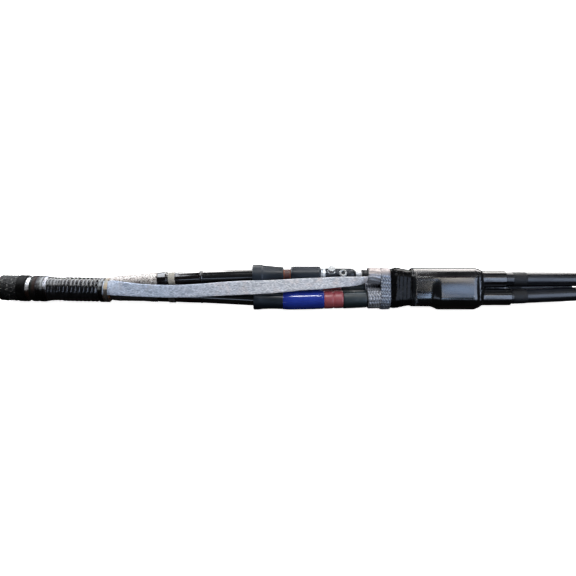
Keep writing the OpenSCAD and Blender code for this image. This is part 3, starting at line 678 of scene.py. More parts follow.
    m = Mat("mastic_tape_wrap", Specular_IOR_Level=.09)
    h, g, f = m.attr(), m.noise(110, (1, 1, 1), 4, .65), m.noise(1400, (1, 1, 1), 3, .6)
    c = m.mix(m.span(g, .35, .7), lin(5, 5, 6), lin(14, 15, 16))
    m.set(Base_Color=m.mix(m.span(h, .75, 1, 0, .3), c, lin(40, 42, 45)), Roughness=m.span(g, .3, .7, .1, .24))
    m.bump(f, .12, .0003)
    MAT["wrap_black"] = m.m

    m = Mat("finger_end_tape", Specular_IOR_Level=.35)
    g, f = m.noise(150, (1, 1, 1), 4, .65), m.noise(1600, (1, .3, .3), 3, .6)
    m.set(Base_Color=m.mix(m.span(g, .35, .7), lin(11, 12, 14), lin(21, 22, 26)), Roughness=m.span(g, .3, .7, .5, .68))
    m.bump(f, .3, .0003)
    MAT["finger_tape"] = m.m


build_materials()

# ---------------------------------------------------------------- left cable

KEEP = {
    "armour_bedding": "bedding", "lead_sheath": "lead", "belt_paper": "paper", "crutch_seal": "mastic",
    "connector_top": "connector_metal", "connector_front": "connector_metal", "connector_rear": "connector_metal",
    "paper_insulation_top": "paper_core", "paper_insulation_front": "paper_core", "paper_insulation_rear": "paper_core",
}


def finish_cad_nodes():
    for node, key in KEEP.items():
        ob = NODES[node]
        if len(ob.data.materials):
            for i in range(len(ob.data.materials)):
                ob.data.materials[i] = MAT[key]
        else:
            ob.data.materials.append(MAT[key])


def jute():
    """Jute yarns laid round the cable in bitumen, with stray fibres standing up."""
    xs = np.arange(-684, -620.9, .62)

    def outer(X, T):
        turns = 36
        p = (X + 684) / 9.0 + T / TAU * turns + .45 * waves(X, T, 5, 5, .2, 4)
        i = np.floor(p)
        f = p - i
        ridge = np.sqrt(np.clip(1 - (2 * f - 1) ** 2, 0, 1))
        lump = lattice(X / 3.1 + (i % turns) * 7.3, T / TAU * 90, 11, 90)
        fibre = lattice(X / 1.5, T / TAU * 120, 12, 120)
        tuft = smooth01((lattice(X / 3.4, T / TAU * 62, 13, 62) - .58) / .3)
        h = np.clip(ridge * (.35 + .65 * lump) + .3 * (fibre - .5), 0, 1.2)
        edge = smooth01((X + 684.4) / 1.4)
        tight = smooth01((X + 641) / 1.5)
        rad = 28.7 + (1.7 * h + .7 * tuft) * (.55 + .45 * edge)
        return rad * (1 - tight) + np.minimum(rad, 30.2) * tight, np.clip(.35 * h + .75 * tuft * (.3 + .7 * fibre), 0, 1)

    tube_field("jute_yarns", CABLE, xs, 220, outer, 28.0, MAT["jute"], ["jute_serving"])


def serving_tape():
    xs = np.concatenate([np.arange(-640, -621, .9), [-620.6, -620.2, -620]])

    def outer(X, T):
        lap = (X + 640) / 11.0 + T / TAU
        f = lap - np.floor(lap)
        step = .45 * smooth01(f * 9) - .45 * f
        soft = .22 * waves(X, T, 21, 6, .6, 6)
        edge = 1.1 * (1 - smooth01((X + 640.2) / 2.2)) * .35 + 1.0 * smooth01((X + 620.9) / 1.1)
        h = 31.2 + step + soft * .7 - edge
        return h, np.clip(.5 + soft, 0, 1)

    tube_field("serving_end_winding", CABLE, xs, 120, outer, 30.45, MAT["serving_tape"])
    # the tape turned down over the serving's cut edge
    lathe("serving_end_face", CABLE, [(-621.6, 30.9), (-620.6, 30.8), (-620, 30.0), (-619.9, 28.3)], [(-621.6, 28.05), (-619.9, 28.05)],
          MAT["serving_tape"], ["serving_end_tape"], 96, .1, 23, .3, .3)


def armour():
    """Two steel tapes wound with a gap, seen between the end tapes."""
    xs = np.concatenate([np.arange(-684, -622, 2.0), np.arange(-621.5, -609, .5), np.arange(-608, -570.9, 2.0), [-571]])

    def outer(X, T):
        lap = (X + 684) / 26.0 + T / TAU
        f = lap - np.floor(lap)
        gap = np.exp(-((f - .12) / .035) ** 2) * .45
        return 27.95 - gap + .05 * waves(X, T, 31, 4, .3, 4), 1 - gap * 1.5

    tube_field("steel_tapes", CABLE, xs, 120, outer, 26.2, MAT["galvanised_steel"], ["steel_tape_armour"])


def armour_collar():
    xs = np.arange(-610, -595.9, .5)

    def outer(X, T):
        base = np.interp(X, [-610, -609.3, -607, -601, -596.6, -596], [29.3, 30.1, 30.7, 30.9, 30.5, 29.8])
        lap = (X + 610) / 5.2 + T / TAU
        f = lap - np.floor(lap)
        return base + .25 * smooth01(f * 8) - .25 * f + .12 * waves(X, T, 41, 5, .8, 7), f

    tube_field("armour_end_winding", CABLE, xs, 132, outer, 28.05, MAT["end_tape"], ["armour_end_tape"])


def bond_braid():
    xs = np.arange(-595.8, -571.7, .45)

    def outer(X, T):
        p = T / TAU * 34
        q = (X + 596) / 4.6
        col = np.floor(p)
        f = p - col
        s = np.where(col % 2 == 0, 1, -1)
        g = q + s * f * .8 + .3 * waves(X, T, 51, 5, .5, 9)
        g = g - np.floor(g)
        strand = np.sqrt(np.clip(1 - (2 * f - 1) ** 2, 0, 1)) * np.sqrt(np.clip(1 - (2 * g - 1) ** 2, 0, 1))
        crumple = lattice(X / 3.6, T / TAU * 26, 52, 26)
        h = .45 * strand + .75 * crumple
        base = np.interp(X, [-596, -594, -590, -580, -575, -571.6], [29.0, 29.1, 28.6, 28.6, 28.9, 28.4])
        return base + 1.15 * h, np.clip(h * .9, 0, 1)

    tube_field("armour_bond_plait", CABLE, xs, 216, outer, 28.05, MAT["bond_braid"], ["armour_bond_braid"])


def spring(name, xa, xb, r0, t, turns, replaces, seed, seat=None):
    """A flat steel strip wound on itself, with its loose end lifted a little."""
    n = int(150 * turns)
    a = np.linspace(0, turns * TAU, n) + seed
    r = r0 + (a - a[0]) / TAU * (t + .06)
    tail = smooth01((a - a[-1] + .32) / .32)
    r = r + tail * .5
    prof = np.array([(xa, 0), (xa + .25, t * .5), (xa + .7, t * .9), ((xa + xb) / 2, t), (xb - .7, t * .9), (xb - .25, t * .5), (xb, 0),
                     (xb - 1, -.02), (xa + 1, -.02)])
    P = np.zeros((n, len(prof), 3))
    for j, (x, h) in enumerate(prof):
        c, tt, nn, mm = axes(CABLE, np.array([x]))
        rad = (r + h)[:, None]
        P[:, j] = c + rad * (np.cos(a)[:, None] * nn + np.sin(a)[:, None] * mm)
    faces = [list(q) for q in grid_faces(n, len(prof), False, True)]
    faces.append(list(range(len(prof))))
    faces.append([(n - 1) * len(prof) + i for i in range(len(prof) - 1, -1, -1)])
    make_object(name, P, faces, MAT["spring_steel"], replaces)


def rubber_laps():
    """Rubber tape wound half over itself, from the taper at the armour to the roll spring."""
    xs = np.arange(-570.6, -449.3, .56)
    lift = np.array([.2, 1.1, .3, 1.3, .9, .4, 1.2, .2, .8, .5, .6])

    def outer(X, T):
        lap = (X + 536) / 9.6 + T / TAU * 1.0
        i = np.floor(lap)
        f = lap - i
        on = i - T / TAU
        a = np.interp(np.clip(on, 0, 9), np.arange(11), lift)
        b = np.interp(np.clip(on + 1, 0, 9), np.arange(11), lift)
        wav = .25 * waves(X, T, 61, 6, .12, 4)
        up = smooth01(f * 7)
        fat = np.sqrt(np.clip(1 - (2 * f - 1) ** 2, 0, 1))
        body = 25.3 + (a * (1 - f) + b * f) * .95 + 2.9 * fat + wav * .8
        start = np.interp(X, [-570.6, -569.8, -562, -552, -546, -540, -534], [27.4, 28.3, 27.8, 27.2, 27.5, 26.9, 26.6])
        lap2 = (X + 570) / 7.4 + T / TAU
        g = lap2 - np.floor(lap2)
        start = start + 1.5 * np.sqrt(np.clip(1 - (2 * g - 1) ** 2, 0, 1)) - 1.0 + wav * .8
        k = smooth01((X + 543) / 8)
        r = start * (1 - k) + body * k
        end = np.interp(X, [-456, -450, -449.3], [0, 1, 1])
        r = r * (1 - end) + end * np.minimum(r, 26.4)
        return r, np.clip(fat * k + np.sqrt(np.clip(1 - (2 * g - 1) ** 2, 0, 1)) * (1 - k), 0, 1)

    tube_field("rubber_tape_laps", CABLE, xs, 124, outer, 25.3, MAT["rubber_tape"], ["sheath_tape"])


def cords(name, k, x, r, d, turns, replaces, seed, per=90, nt=10, direction=1):
    """A twisted cord wound side by side; the turns are one helix, closed by a flat cap at each end."""
    n = per * turns
    a = np.linspace(0, turns * TAU, n + 1)
    xx = x + d * (.5 + (turns - 1) * a / (turns * TAU))
    c, t, nn, mm = axes(k, xx)
    aa = direction * a + seed
    rr = r + .12 * np.sin(3 * a + seed)
    P = c + rr[:, None] * (np.cos(aa)[:, None] * nn + np.sin(aa)[:, None] * mm)
    strands = 3

    def radius(S, A):
        ph = A * strands + S * TAU / (d * 1.25)
        return d / 2 * (.90 + .13 * np.cos(ph))

    grid = tube_along(P, radius, nt)
    s = np.concatenate([[0], np.cumsum(np.linalg.norm(np.diff(P, axis=0), axis=1))])
    A = np.arange(nt) / nt * TAU
    rel = .5 + .5 * np.cos(A[None] * strands + s[:, None] * TAU / (d * 1.25))
    return grid, rel, tube_faces(n + 1, nt)


def cord_bindings():
    g, rel, f = cords("x", CABLE, -437.6, 27.75, 2.9, 4, [], 2.6, 120, 10)
    make_object("crutch_cord", g, f, MAT["cord"], ["crutch_cord_binding"], relief=rel)
    verts, rels, faces, base = [], [], [], 0
    for k in range(3):
        g, rel, f = cords("x", k, -283.5, 15.1, 2.5, 7, [], 2.8 + k, 64, 8)
        verts.append(g.reshape(-1, 3))
        rels.append(rel.ravel())
        faces += [[i + base for i in q] for q in f]
        base += g.shape[0] * g.shape[1]
    make_object("core_cords", np.concatenate(verts), faces, MAT["cord"], ["core_cord_bindings"],
                relief=np.concatenate(rels))


# ---------------------------------------------------------------- earth braid

def lead_station(x):
    z = .85 + (x + 684) * math.tan(TILT)
    r = 25.35
    c, s = math.cos(math.radians(30)), math.sin(math.radians(30))
    return [x, z * c + r * math.sin(math.radians(14)), z * s + r * math.cos(math.radians(14)), 36, 1 / r, 1.85, -14]


BRAID = np.array([
    lead_station(-448.6), lead_station(-437), lead_station(-427),
    [-420, .8, 23.4, 36.5, .02, 2.2, -9], [-412, .2, 24.4, 36.5, .006, 2.6, -5],
    [-392, -1.6, 25.2, 34.5, 0, 3, -1], [-368, -3.8, 25.8, 32.6, 0, 3, 0], [-343, -5.8, 26.4, 31.2, 0, 3, 0],
    [-308, -7.2, 27.2, 30.4, 0, 3, 0], [-272, -8, 28.8, 30.4, 0, 3, 0], [-240, -7.2, 30.2, 30.8, 0, 3, 0],
    [-204, -5.4, 32.4, 31.4, 0, 3, 0], [-160, -2.6, 36, 32.6, 0, 3, 0], [-112, .2, 40, 33.6, 0, 3, 0],
    [-82, 1.2, 42.1, 33.2, 0, 3, 0], [-42, 2.6, 41.2, 32, 0, 3, 0], [-8, 5.2, 40.2, 30.4, 0, 3, 0],
    [28, 8.2, 39.4, 28.8, 0, 3, 0], [75, 10.4, 38.5, 27.6, 0, 3, 1], [100, 12.4, 38, 26.6, 0, 3, 2],
    [121, 14, 37.4, 25.4, 0, 3, 4], [146, 15, 36.2, 23.6, .004, 3, 8], [163, 16.2, 34.6, 21.6, .012, 2.8, 16],
    [176, 17.8, 32.6, 19.6, .03, 2.2, 30], [186, 19.7, 30.7, 17.6, .058, 1.6, 40],
    [193, 18.9, 24.6, 17.4, .0597, 1.5, 40], [214, 16.91, 23.6, 17.4, .0597, 1.5, 40]], float)


def earth_braid():
    """A flat plait of tinned wires: columns of slanting floats, closed at both edges."""
    xs = np.concatenate([np.arange(-448.6, 214, 1.1), [214]])
    st = np.zeros((len(xs), 7))
    for i in range(1, 7):
        acc = 0
        for d in np.linspace(-5, 5, 7):
            acc = acc + np.interp(xs + d, BRAID[:, 0], BRAID[:, i])
        st[:, i] = acc / 7
    no, ni = 56, 8
    across = np.concatenate([np.linspace(-1, 1, no), np.linspace(1, -1, ni + 2)[1:-1]])
    outside = np.concatenate([np.ones(no), np.zeros(ni)])
    Q, X = np.meshgrid(across, xs)
    OUT = np.broadcast_to(outside, Q.shape)
    w = st[:, 3][:, None] / 2
    kk = np.maximum(st[:, 4], 1e-5)[:, None]
    T = st[:, 5][:, None]
    q = Q * w * .985
    # plait
    ncol = 11
    p = (Q * .5 + .5) * ncol
    col = np.floor(np.clip(p, 0, ncol - 1e-6))
    f = p - col
    s = np.where(col % 2 == 0, 1, -1)
    start = rng(70).rand(16)[col.astype(int) % 16]
    g = X / 6.6 + s * f * .62 + start + .35 * waves(X, Q * 5, 71, 7, .12, 2)
    turn_no = np.floor(g).astype(int)
    g = g - turn_no
    shade = rng(72).rand(16, 256)[col.astype(int) % 16, turn_no % 256]
    flo = np.sqrt(np.clip(1 - (2 * f - 1) ** 2, 0, 1)) ** .8
    dash = np.sqrt(np.clip(1 - (2 * g - 1) ** 2, 0, 1)) ** .7
    wires = .5 + .5 * np.cos((p * 3.0 - s * X / 6.6 * .8) * TAU)
    rel = flo * dash * (.85 + .15 * wires)
    look = rel ** .8 * np.where(shade < .13, .2, .62 + .38 * shade)
    edge = (1 - np.abs(Q) ** 10) ** .5
    wave = .28 * waves(X, Q, 73, 6, .045, 1)
    body = T * (.5 + .5 * edge)
    h_out = body * (1 - .0) - .55 * (1 - rel) + wave * .4
    h_in = T * .5 * (1 - edge) + .35 * (1 - rel) * .5
    h = np.where(OUT > .5, h_out, h_in)
    # folds that run along the braid where it narrows
    ang = q * kk
    a = np.sin(ang) / kk + h * np.sin(ang)
    b = h * np.cos(ang) - (1 - np.cos(ang)) / kk
    tr = np.radians(st[:, 6])[:, None]
    u = st[:, 1][:, None] + a * np.cos(tr) - b * np.sin(tr)
    v = st[:, 2][:, None] + a * np.sin(tr) + b * np.cos(tr)
    c30, s30 = math.cos(math.radians(30)), .5
    P = np.stack([X, u * s30 - v * c30, AXIS_Z + u * c30 + v * s30], -1)
    n, m = P.shape[:2]
    faces = [list(r) for r in grid_faces(n, m, False, True)]
    faces.append(list(range(m)))
    faces.append([(n - 1) * m + i for i in range(m - 1, -1, -1)])
    make_object("earth_plait", P, faces, MAT["tinned_braid"], ["earth_braid"],
                relief=np.clip(np.where(OUT > .5, look, rel), 0, 1))


# ---------------------------------------------------------------- paper cores

def core_mesh(k):
    xs = np.arange(-420, -308, .8 if k == 0 else 1.35)

    def outer(X, T):
        if k == 0:
            base = np.interp(X, [-420, -414, -404, -372, -345, -330, -312, -308], [12.0, 12.7, 13.1, 13.9, 15.2, 15.7, 15.8, 15.3])
        else:
            base = np.interp(X, [-420, -414, -404, -345, -322, -308], [12.0, 12.7, 13.1, 13.1, 13.5, 13.6])
        p = T / TAU * 30
        q = (X + 420) / 2.7
        col = np.floor(p)
        f = p - col
        g = q + .5 * np.cos(f * TAU) * .7 + .5 * (col % 2) + .2 * waves(X, T, 81 + k, 5, .2, 5)
        g = g - np.floor(g)
        loop = (.35 + .65 * np.sqrt(np.clip(1 - (2 * g - 1) ** 2, 0, 1))) * (.55 + .45 * np.cos((f - .5) * TAU) ** 2)
        lump = lattice(X / 7, T / TAU * 9, 83 + k, 9)
        band = smooth01((X + 328) / 5) * (1 - smooth01((X + 311.5) / 3))
        fold = (.5 + .5 * np.sin(X * 1.25 + 1.4 * waves(X, T, 85 + k, 5, .3, 5))) * band
        rad = base + .75 * loop + .7 * (lump - .4) + band * (.9 if k == 0 else .3) + fold * .8
        return rad, np.clip(.25 + .75 * loop + .3 * band, 0, 1)

    # the front and rear cores take the darker mesh copy, which is painted shade
    tube_field("core_knit_" + NAMES[k], k, xs, 132, outer, 10.3, MAT["tinned_mesh" if k == 0 else "painted_shade_mesh"], ["core_mesh_" + NAMES[k]])


def core_sleeves():
    for k in range(3):
        n = NAMES[k]
        top = k == 0
        core_mesh(k)
        head = [(-307.8, 16.0), (-306.4, 16.8), (-299, 17.1), (-288, 17.3), (-286, 16.8), (-284.5, 14.7)] if top else [(-307.8, 14.0), (-300, 14.4), (-284, 14.5)]
        lathe("oil_barrier_" + n, k, head + [(-265, 14.6), (-258, 15.0), (-235, 15.5), (-212, 15.7), (-206.6, 15.6)],
              [(-307.8, 10.3), (-206.6, 10.3)], MAT["oil_barrier"], ["oil_barrier_tube_" + n], 96, .16, 101 + k, .09, .6)
        e = -60 if top else -13
        lathe("stress_tube_skin_" + n, k, [(-205.7, 16.3), (-204.6, 16.6), (-203, 16.5), (-201.6, 15.7), (-199, 15.5), (e, 15.45)],
              [(-205.7, 10.3), (e, 10.3)], MAT["stress_black"], ["stress_tube_" + n], 96, .1, 111 + k, .06, .4)
        if top:
            outer = [(-83, 25.4), (-82.4, 26.2), (-81, 26.5), (-74, 26.3), (-62, 25.8), (-60, 25.4), (-58.8, 24.7), (-57, 24.3), (-36, 21.7), (-14, 19.2), (-11, 18.8), (-10, 18.2)]
            inner = [(-83, 24.2), (-78, 23.0), (-64, 16.9), (-60.2, 15.6), (-59.9, 12.8), (-10, 12.8)]
        else:
            outer = [(-80, 24.2), (-79.2, 24.9), (-77, 25.1), (-68, 24.6), (-60, 23.1), (-44, 21.6), (-26, 20.8), (-11.7, 20.6)]
            inner = [(-80, 23.0), (-76, 22.1), (-62, 16.9), (-58.2, 15.7), (-11.7, 15.6)]
        lathe("stress_cone_skin_" + n, k, outer, inner, MAT["cone_grey"], ["stress_cone_" + n], 90, .14, 121 + k, .07, .5)
        if top:
            lathe("brown_tube_top", k, [(-59.6, 12.65), (-11, 12.65), (-10.2, 13.2), (-6, 13.5), (2, 13.5), (5.4, 13.1), (6.2, 12.65), (74, 12.65)],
                  [(-59.6, 10.25), (74, 10.25)], MAT["red_brown_tube"], ["insulating_tube_top"], 84, .08, 131, .08, .4)
            lathe("end_sleeve_skin_top", k, [(6, 17.0), (6.6, 18.2), (8, 19.2), (10.4, 19.8), (14, 20.0), (50, 19.95), (74, 19.8), (76.6, 19.1)],
                  [(6, 12.85), (74.2, 12.85), (74.4, 8.4), (76.6, 8.4)], MAT["dark_sleeve"], ["end_sleeve_top"], 96, .1, 141, .06, .5)
        else:
            lathe("red_tube_" + n, k, [(-11.4, 20.3), (85, 20.3), (85.2, 21.0), (86.4, 21.6), (89, 21.7), (104, 21.4), (105.8, 20.9), (106.8, 20.2), (108.2, 20.2),
                                       (109.2, 20.9), (111, 21.4), (126.4, 21.2), (129, 20.7), (129.6, 20.2)],
                  [(-11.4, 11.6), (.6, 11.6), (.8, 15.6), (84.3, 15.6), (96, 12.3), (129.6, 12.3)], MAT["red_tube"],
                  ["insulating_tube_" + n], 96, .09, 151 + k, .1, .5)
            lathe("blue_sleeve_" + n, k, [(-11.6, 20.9), (-10.8, 21.2), (-8, 21.4), (-2, 21.9), (4, 22.2), (16, 22.4), (60, 22.25), (80, 21.9), (84.6, 21.5)],
                  [(-11.6, 20.42), (84.6, 20.42)], MAT["blue_sleeve"], ["joint_sleeve_" + n], 108, .16, 161 + k, .09, .35)
            lathe("end_sleeve_skin_" + n, k, [(130, 21.2), (130.5, 21.8), (132, 22.0), (150, 21.7), (178, 20.9), (184.6, 20.5)],
                  [(130, 12.3), (184.6, 12.3)], MAT["green_grey_sleeve"], ["end_sleeve_" + n], 96, .12, 171 + k, .07, .5)


def bolts():
    """Shear bolts: on the open connector their heads show, with a hexagonal recess and a chamfered rim."""
    places = [(0, 102, 22, 24.0, 17.0), (0, 129, 46, 18.4, 12.6), (1, 22, 25, 14, 0), (1, 64, -20, 14, 0), (2, 22, 25, 14, 0), (2, 64, -20, 14, 0)]
    na = 72
    th = np.arange(na) / na * TAU
    hexa = math.cos(math.pi / 6) / np.cos((th + math.pi / 6) % (math.pi / 3) - math.pi / 6)
    verts, faces, idx, base = [], [], [], 0
    for k, x, turn, h, under in places:
        if under:
            rows = [(.4, 8.25, 0), (6, 8.25, 0), (6, 12, 0), (6, under, 0), (7.9, under, 0), (8.4, under + .4, 0), (8.5, under + 1.2, 0), (8.5, h - 1.1, 0),
                    (8.3, h - .5, 0), (7.7, h - .05, 0), (7.2, h, 0), (6.0, h, 0), (5.6, h - .1, 0), (4.9, h - .3, 2), (4.6, h - .9, 2), (4.6, h - 3.9, 2),
                    (3.6, h - 4, 1), (1.6, h - 4.2, 1), (.3, h - 4.2, 1)]
            if under > 15:
                # sheared off at its neck: a flat face with the break's small rise in the middle
                rows = rows[:12] + [(5.0, h - .05, 0), (3.0, h - .1, 0), (1.8, h - .1, 0), (1.4, h + .25, 0), (.3, h + .3, 0)]
        else:
            rows = [(.4, 8.25, 0), (6, 8.25, 0), (6, 11, 0), (6, h - .5, 0), (5.6, h, 0), (3.4, h + .05, 0), (2.6, h - .4, 0), (1.4, h - .5, 0), (.3, h - .5, 0)]
        a = TURN[k] + math.radians(turn)
        c, t, n, m = axes(k, np.array([float(x)]))
        c, t = c[0], np.array([1.0, 0, 0])
        up = np.array([0, -math.sin(a), math.cos(a)])
        side = np.cross(up, t)
        P = []
        for r, q, kind in rows:
            rr = r * (hexa if kind == 2 else 1.0) * np.ones(na)
            P.append(c + q * up + rr[:, None] * (np.cos(th)[:, None] * t + np.sin(th)[:, None] * side))
        P = np.array(P)
        f = [list(v) for v in grid_faces(len(rows), na, False, True, base)]
        # the deep bolt's recess faces take the darker recess metal, which is painted shade
        deep = 0 < under < 15
        which = [1 if (deep and i // na >= 13) else 0 for i in range(len(f))]
        f.append([base + i for i in range(na)])
        f.append([base + (len(rows) - 1) * na + i for i in range(na - 1, -1, -1)])
        which += [0, 1 if deep else 0]
        verts.append(P.reshape(-1, 3))
        faces += f
        idx += which
        base += len(rows) * na
    make_object("shear_bolt_heads", np.concatenate(verts), faces, [MAT["bolt_metal"], MAT["bolt_recess_painted_shade"]], ["shear_bolts"], indices=idx)


def strands(name, k, xa, xb, material, slot, replaces, cap_a=True, cap_b=True, lay=150.0, nout=18):
    """A stranded conductor: helical wires on the outside and the wires' ends on each cut face."""
    xs = np.concatenate([np.arange(xa, xb, 9.0 if xb - xa > 200 else 3.0), [xb]])
    if xa < -600:
        xs = np.concatenate([np.arange(xa, xa + 6, 1.0), np.arange(xa + 6, xb, 12.0), [xb]])
    na = nout * 4
    th = np.arange(na) / na * TAU
    X, T = np.meshgrid(xs, th, indexing="ij")
    f = (T * nout / TAU + X / lay * nout)
    f = f - np.floor(f)
    ridge = np.sqrt(np.clip(1 - (2 * f - 1) ** 2, 0, 1))
    R = 7.35 + .6 * ridge
    P = ring_points(k, xs, R, th).reshape(-1, 3)
    rel = ridge.ravel()
    faces = [list(q) for q in grid_faces(len(xs), na, False, True)]
    verts, rels = [P], [rel]
    base = len(P)
    centres = [(0, 0)] + [(2.05 * 1, i / 6 * TAU) for i in range(6)] + [(4.05, i / 12 * TAU + .2) for i in range(12)] + [(6.1, i / 18 * TAU) for i in range(18)]
    cc = np.array([(r * math.cos(a), r * math.sin(a)) for r, a in centres])
    for x, on, side in ((xa, cap_a, -1), (xb, cap_b, 1)):
        if not on:
            continue
        rings = np.array([7.0, 6.1, 5.2, 4.4, 3.6, 2.8, 2.0, 1.2, .5])
        c, t, nn, mm = axes(k, np.array([x]))
        RR, TT = np.meshgrid(rings, th, indexing="ij")
        px, py = RR * np.cos(TT), RR * np.sin(TT)
        d = np.min(np.hypot(px[..., None] - cc[:, 0], py[..., None] - cc[:, 1]), -1)
        h = np.sqrt(np.clip(1 - (d / 1.06) ** 2, 0, 1))
        V = c + px[..., None] * nn + py[..., None] * mm + (side * (.55 * h - .55))[..., None] * t
        row = 0 if side < 0 else (len(xs) - 1) * na
        g = []
        for i in range(len(rings)):
            for j in range(na):
                j2 = (j + 1) % na
                a0 = row + j if i == 0 else base + (i - 1) * na + j
                a1 = row + j2 if i == 0 else base + (i - 1) * na + j2
                b0, b1 = base + i * na + j, base + i * na + j2
                q = [a0, b0, b1, a1]
                g.append(q if side > 0 else q[::-1])
        last = [base + (len(rings) - 1) * na + j for j in range(na)]
        g.append(last if side < 0 else last[::-1])
        faces += g
        verts.append(V.reshape(-1, 3))
        rels.append(h.ravel())
        base += V.shape[0] * V.shape[1]
    make_object(name, np.concatenate(verts), faces, material, replaces, relief=np.concatenate(rels))


def conductors():
    for k in range(3):
        n = NAMES[k]
        cx = 77 if k == 0 else 1
        strands("copper_core_" + n, k, -684, cx + 39.5, MAT["copper"], "copper", ["paper_conductor_" + n], True, False)
        strands("aluminium_core_" + n, k, cx + 43.5, 684, MAT["bare_aluminium"], "bare_aluminium", ["cable_conductor_" + n], False, True)


# ---------------------------------------------------------------- single-core cables

def cables():
    for k in range(3):
        n = NAMES[k]
        xa = 173.2 if k == 0 else 97
        xs = np.concatenate([np.arange(xa, 682, 12.0), [683.2, 684]])
        th_n = 72

        def ring_piece(name, x0, r_out, r_in, mats, repl, wob, seed, xs_in):
            th = np.arange(th_n) / th_n * TAU
            X, T = np.meshgrid(xs_in, th, indexing="ij")
            R = r_out + wob * waves(X, T, seed, 6, .02, 2)
            edge = .35
            rows = [(xs_in[0], np.full(th_n, r_in)), (xs_in[0], R[0] - edge)]
            for i, x in enumerate(xs_in):
                rr = R[i]
                xx = x + (edge if i == 0 else (-edge if i == len(xs_in) - 1 else 0))
                rows.append((xx, rr))
            rows += [(xs_in[-1], R[-1] - edge), (xs_in[-1], np.full(th_n, (r_out + r_in) / 2)), (xs_in[-1], np.full(th_n, r_in))]
            X2 = np.array([q[0] for q in rows], float)
            R2 = np.stack([q[1] for q in rows])
            P = ring_points(k, X2, R2, th)
            f = grid_faces(len(X2), th_n, True, True)
            idx = np.zeros(len(f), int)
            rowi = np.arange(len(X2)).repeat(th_n)
            idx[(rowi >= len(X2) - 3) & (rowi < len(X2) - 1)] = 1 if len(mats) > 1 else 0
            idx[rowi == 0] = 1 if len(mats) > 1 else 0
            make_object(name, P, f, mats, repl, indices=idx)

        ring_piece("screened_core_" + n, xa, 12.2, 8.0, [MAT["core_black"], MAT["xlpe"]], ["cable_insulation_" + n], .04, 201 + k, xs)
        xs2 = np.concatenate([[187.0], np.arange(196, 678, 10.0), [682.5, 684]])
        ring_piece("cable_jacket_" + n, 187, 16.5, 12.25, [MAT["cable_black"]], ["cable_sheath_" + n, "cable_sheath_tails"], .07, 211 + k, xs2)


def herring(X, around, cols, pitch, seed, slant=.8, jitter=.25):
    """Chunky plait: columns of slanting strands. around goes from 0 to 1 and wraps."""
    p = around * cols
    col = np.floor(p)
    f = p - col
    s = np.where(col % 2 == 0, 1, -1)
    g = X / pitch + s * f * slant + jitter * waves(X, around * TAU, seed, 5, .25, 4)
    g = g - np.floor(g)
    return np.sqrt(np.clip(1 - (2 * f - 1) ** 2, 0, 1)) ** .8, np.sqrt(np.clip(1 - (2 * g - 1) ** 2, 0, 1))


def cuffs():
    for k in range(3):
        xs = np.arange(187.2, 239.2, .62 if k < 2 else 1.0)
        prof_t = [(187.2, 17.6), (188, 18.5), (190, 19.0), (219, 19.3), (223, 18.1), (239, 17.6)]
        prof_l = [(187.2, 21.0), (188, 22.5), (190, 23.3), (218, 23.5), (223, 18.6), (239, 17.6)]
        pr = np.array(prof_t if k == 0 else prof_l)

        def outer(X, T):
            base = np.interp(X, pr[:, 0], pr[:, 1])
            if k == 0:
                # strips folded lengthwise over the earth braid's end
                p = T / TAU * 15 + .35 * waves(X, T, 221, 5, .12, 3)
                f = p - np.floor(p)
                fold = np.abs(2 * f - 1) ** .8
                fine = lattice(X / 2.2, T / TAU * 80, 222, 80)
                h = .75 * fold + .25 * fine
                return base - .5 + 1.1 * h, np.clip(.45 + .55 * h, 0, 1)
            a, b = herring(X, T / TAU, 14, 6.2, 223 + k)
            lump = lattice(X / 6, T / TAU * 12, 225 + k, 12)
            h = a * b * (.75 + .35 * lump)
            return base - 1.1 + 2.0 * h, np.clip(h, 0, 1)

        tube_field("coarse_cuff_" + NAMES[k], k, xs, 156, outer, 16.7, MAT["cuff_braid"],
                   ["screen_mesh_cuffs"])


def lobes_at(x, d, r, t):
    """Farthest outline of three round lobes: d, r (n, 3); t (m,) from +Z towards -Y. Returns y, z (n, m)."""
    best = np.full((len(x), len(t)), -1e9)
    y = np.zeros_like(best)
    z = np.zeros_like(best)
    for k in range(3):
        cy, cz = -d[:, k] * math.sin(TURN[k]), d[:, k] * math.cos(TURN[k])
        uy, uz = -np.sin(t), np.cos(t)
        h = cy[:, None] * uy + cz[:, None] * uz + r[:, k][:, None]
        win = h > best
        best = np.where(win, h, best)
        y = np.where(win, cy[:, None] + r[:, k][:, None] * uy, y)
        z = np.where(win, cz[:, None] + r[:, k][:, None] * uz, z)
    return y, z


def even_angles(dm, rm, n):
    """Directions spaced so that the outline's points are evenly spread for middle distances dm and radii rm."""
    t = np.linspace(0, TAU, 7201)
    y, z = lobes_at(np.zeros(1), np.array([dm]), np.array([rm]), t)
    s = np.concatenate([[0], np.cumsum(np.hypot(np.diff(y[0]), np.diff(z[0])))])
    u = np.linspace(0, s[-1], n, endpoint=False)
    y2 = np.interp(u, s, y[0])
    z2 = np.interp(u, s, z[0])
    return u / s[-1], y2, z2, s[-1]


def outline(d, r, n):
    """Stretched skin round three lobes as n evenly spread points (y, z) with outward normals, starting at the top."""
    t = np.linspace(0, TAU, 2401)
    y, z = lobes_at(np.zeros(1), np.array([d]), np.array([r]), t)
    y, z = y[0], z[0]
    s = np.concatenate([[0], np.cumsum(np.hypot(np.diff(y), np.diff(z)))])
    u = np.linspace(0, s[-1], n, endpoint=False)
    yy, zz, tt = np.interp(u, s, y), np.interp(u, s, z), np.interp(u, s, t)
    return yy, zz, -np.sin(tt), np.cos(tt)


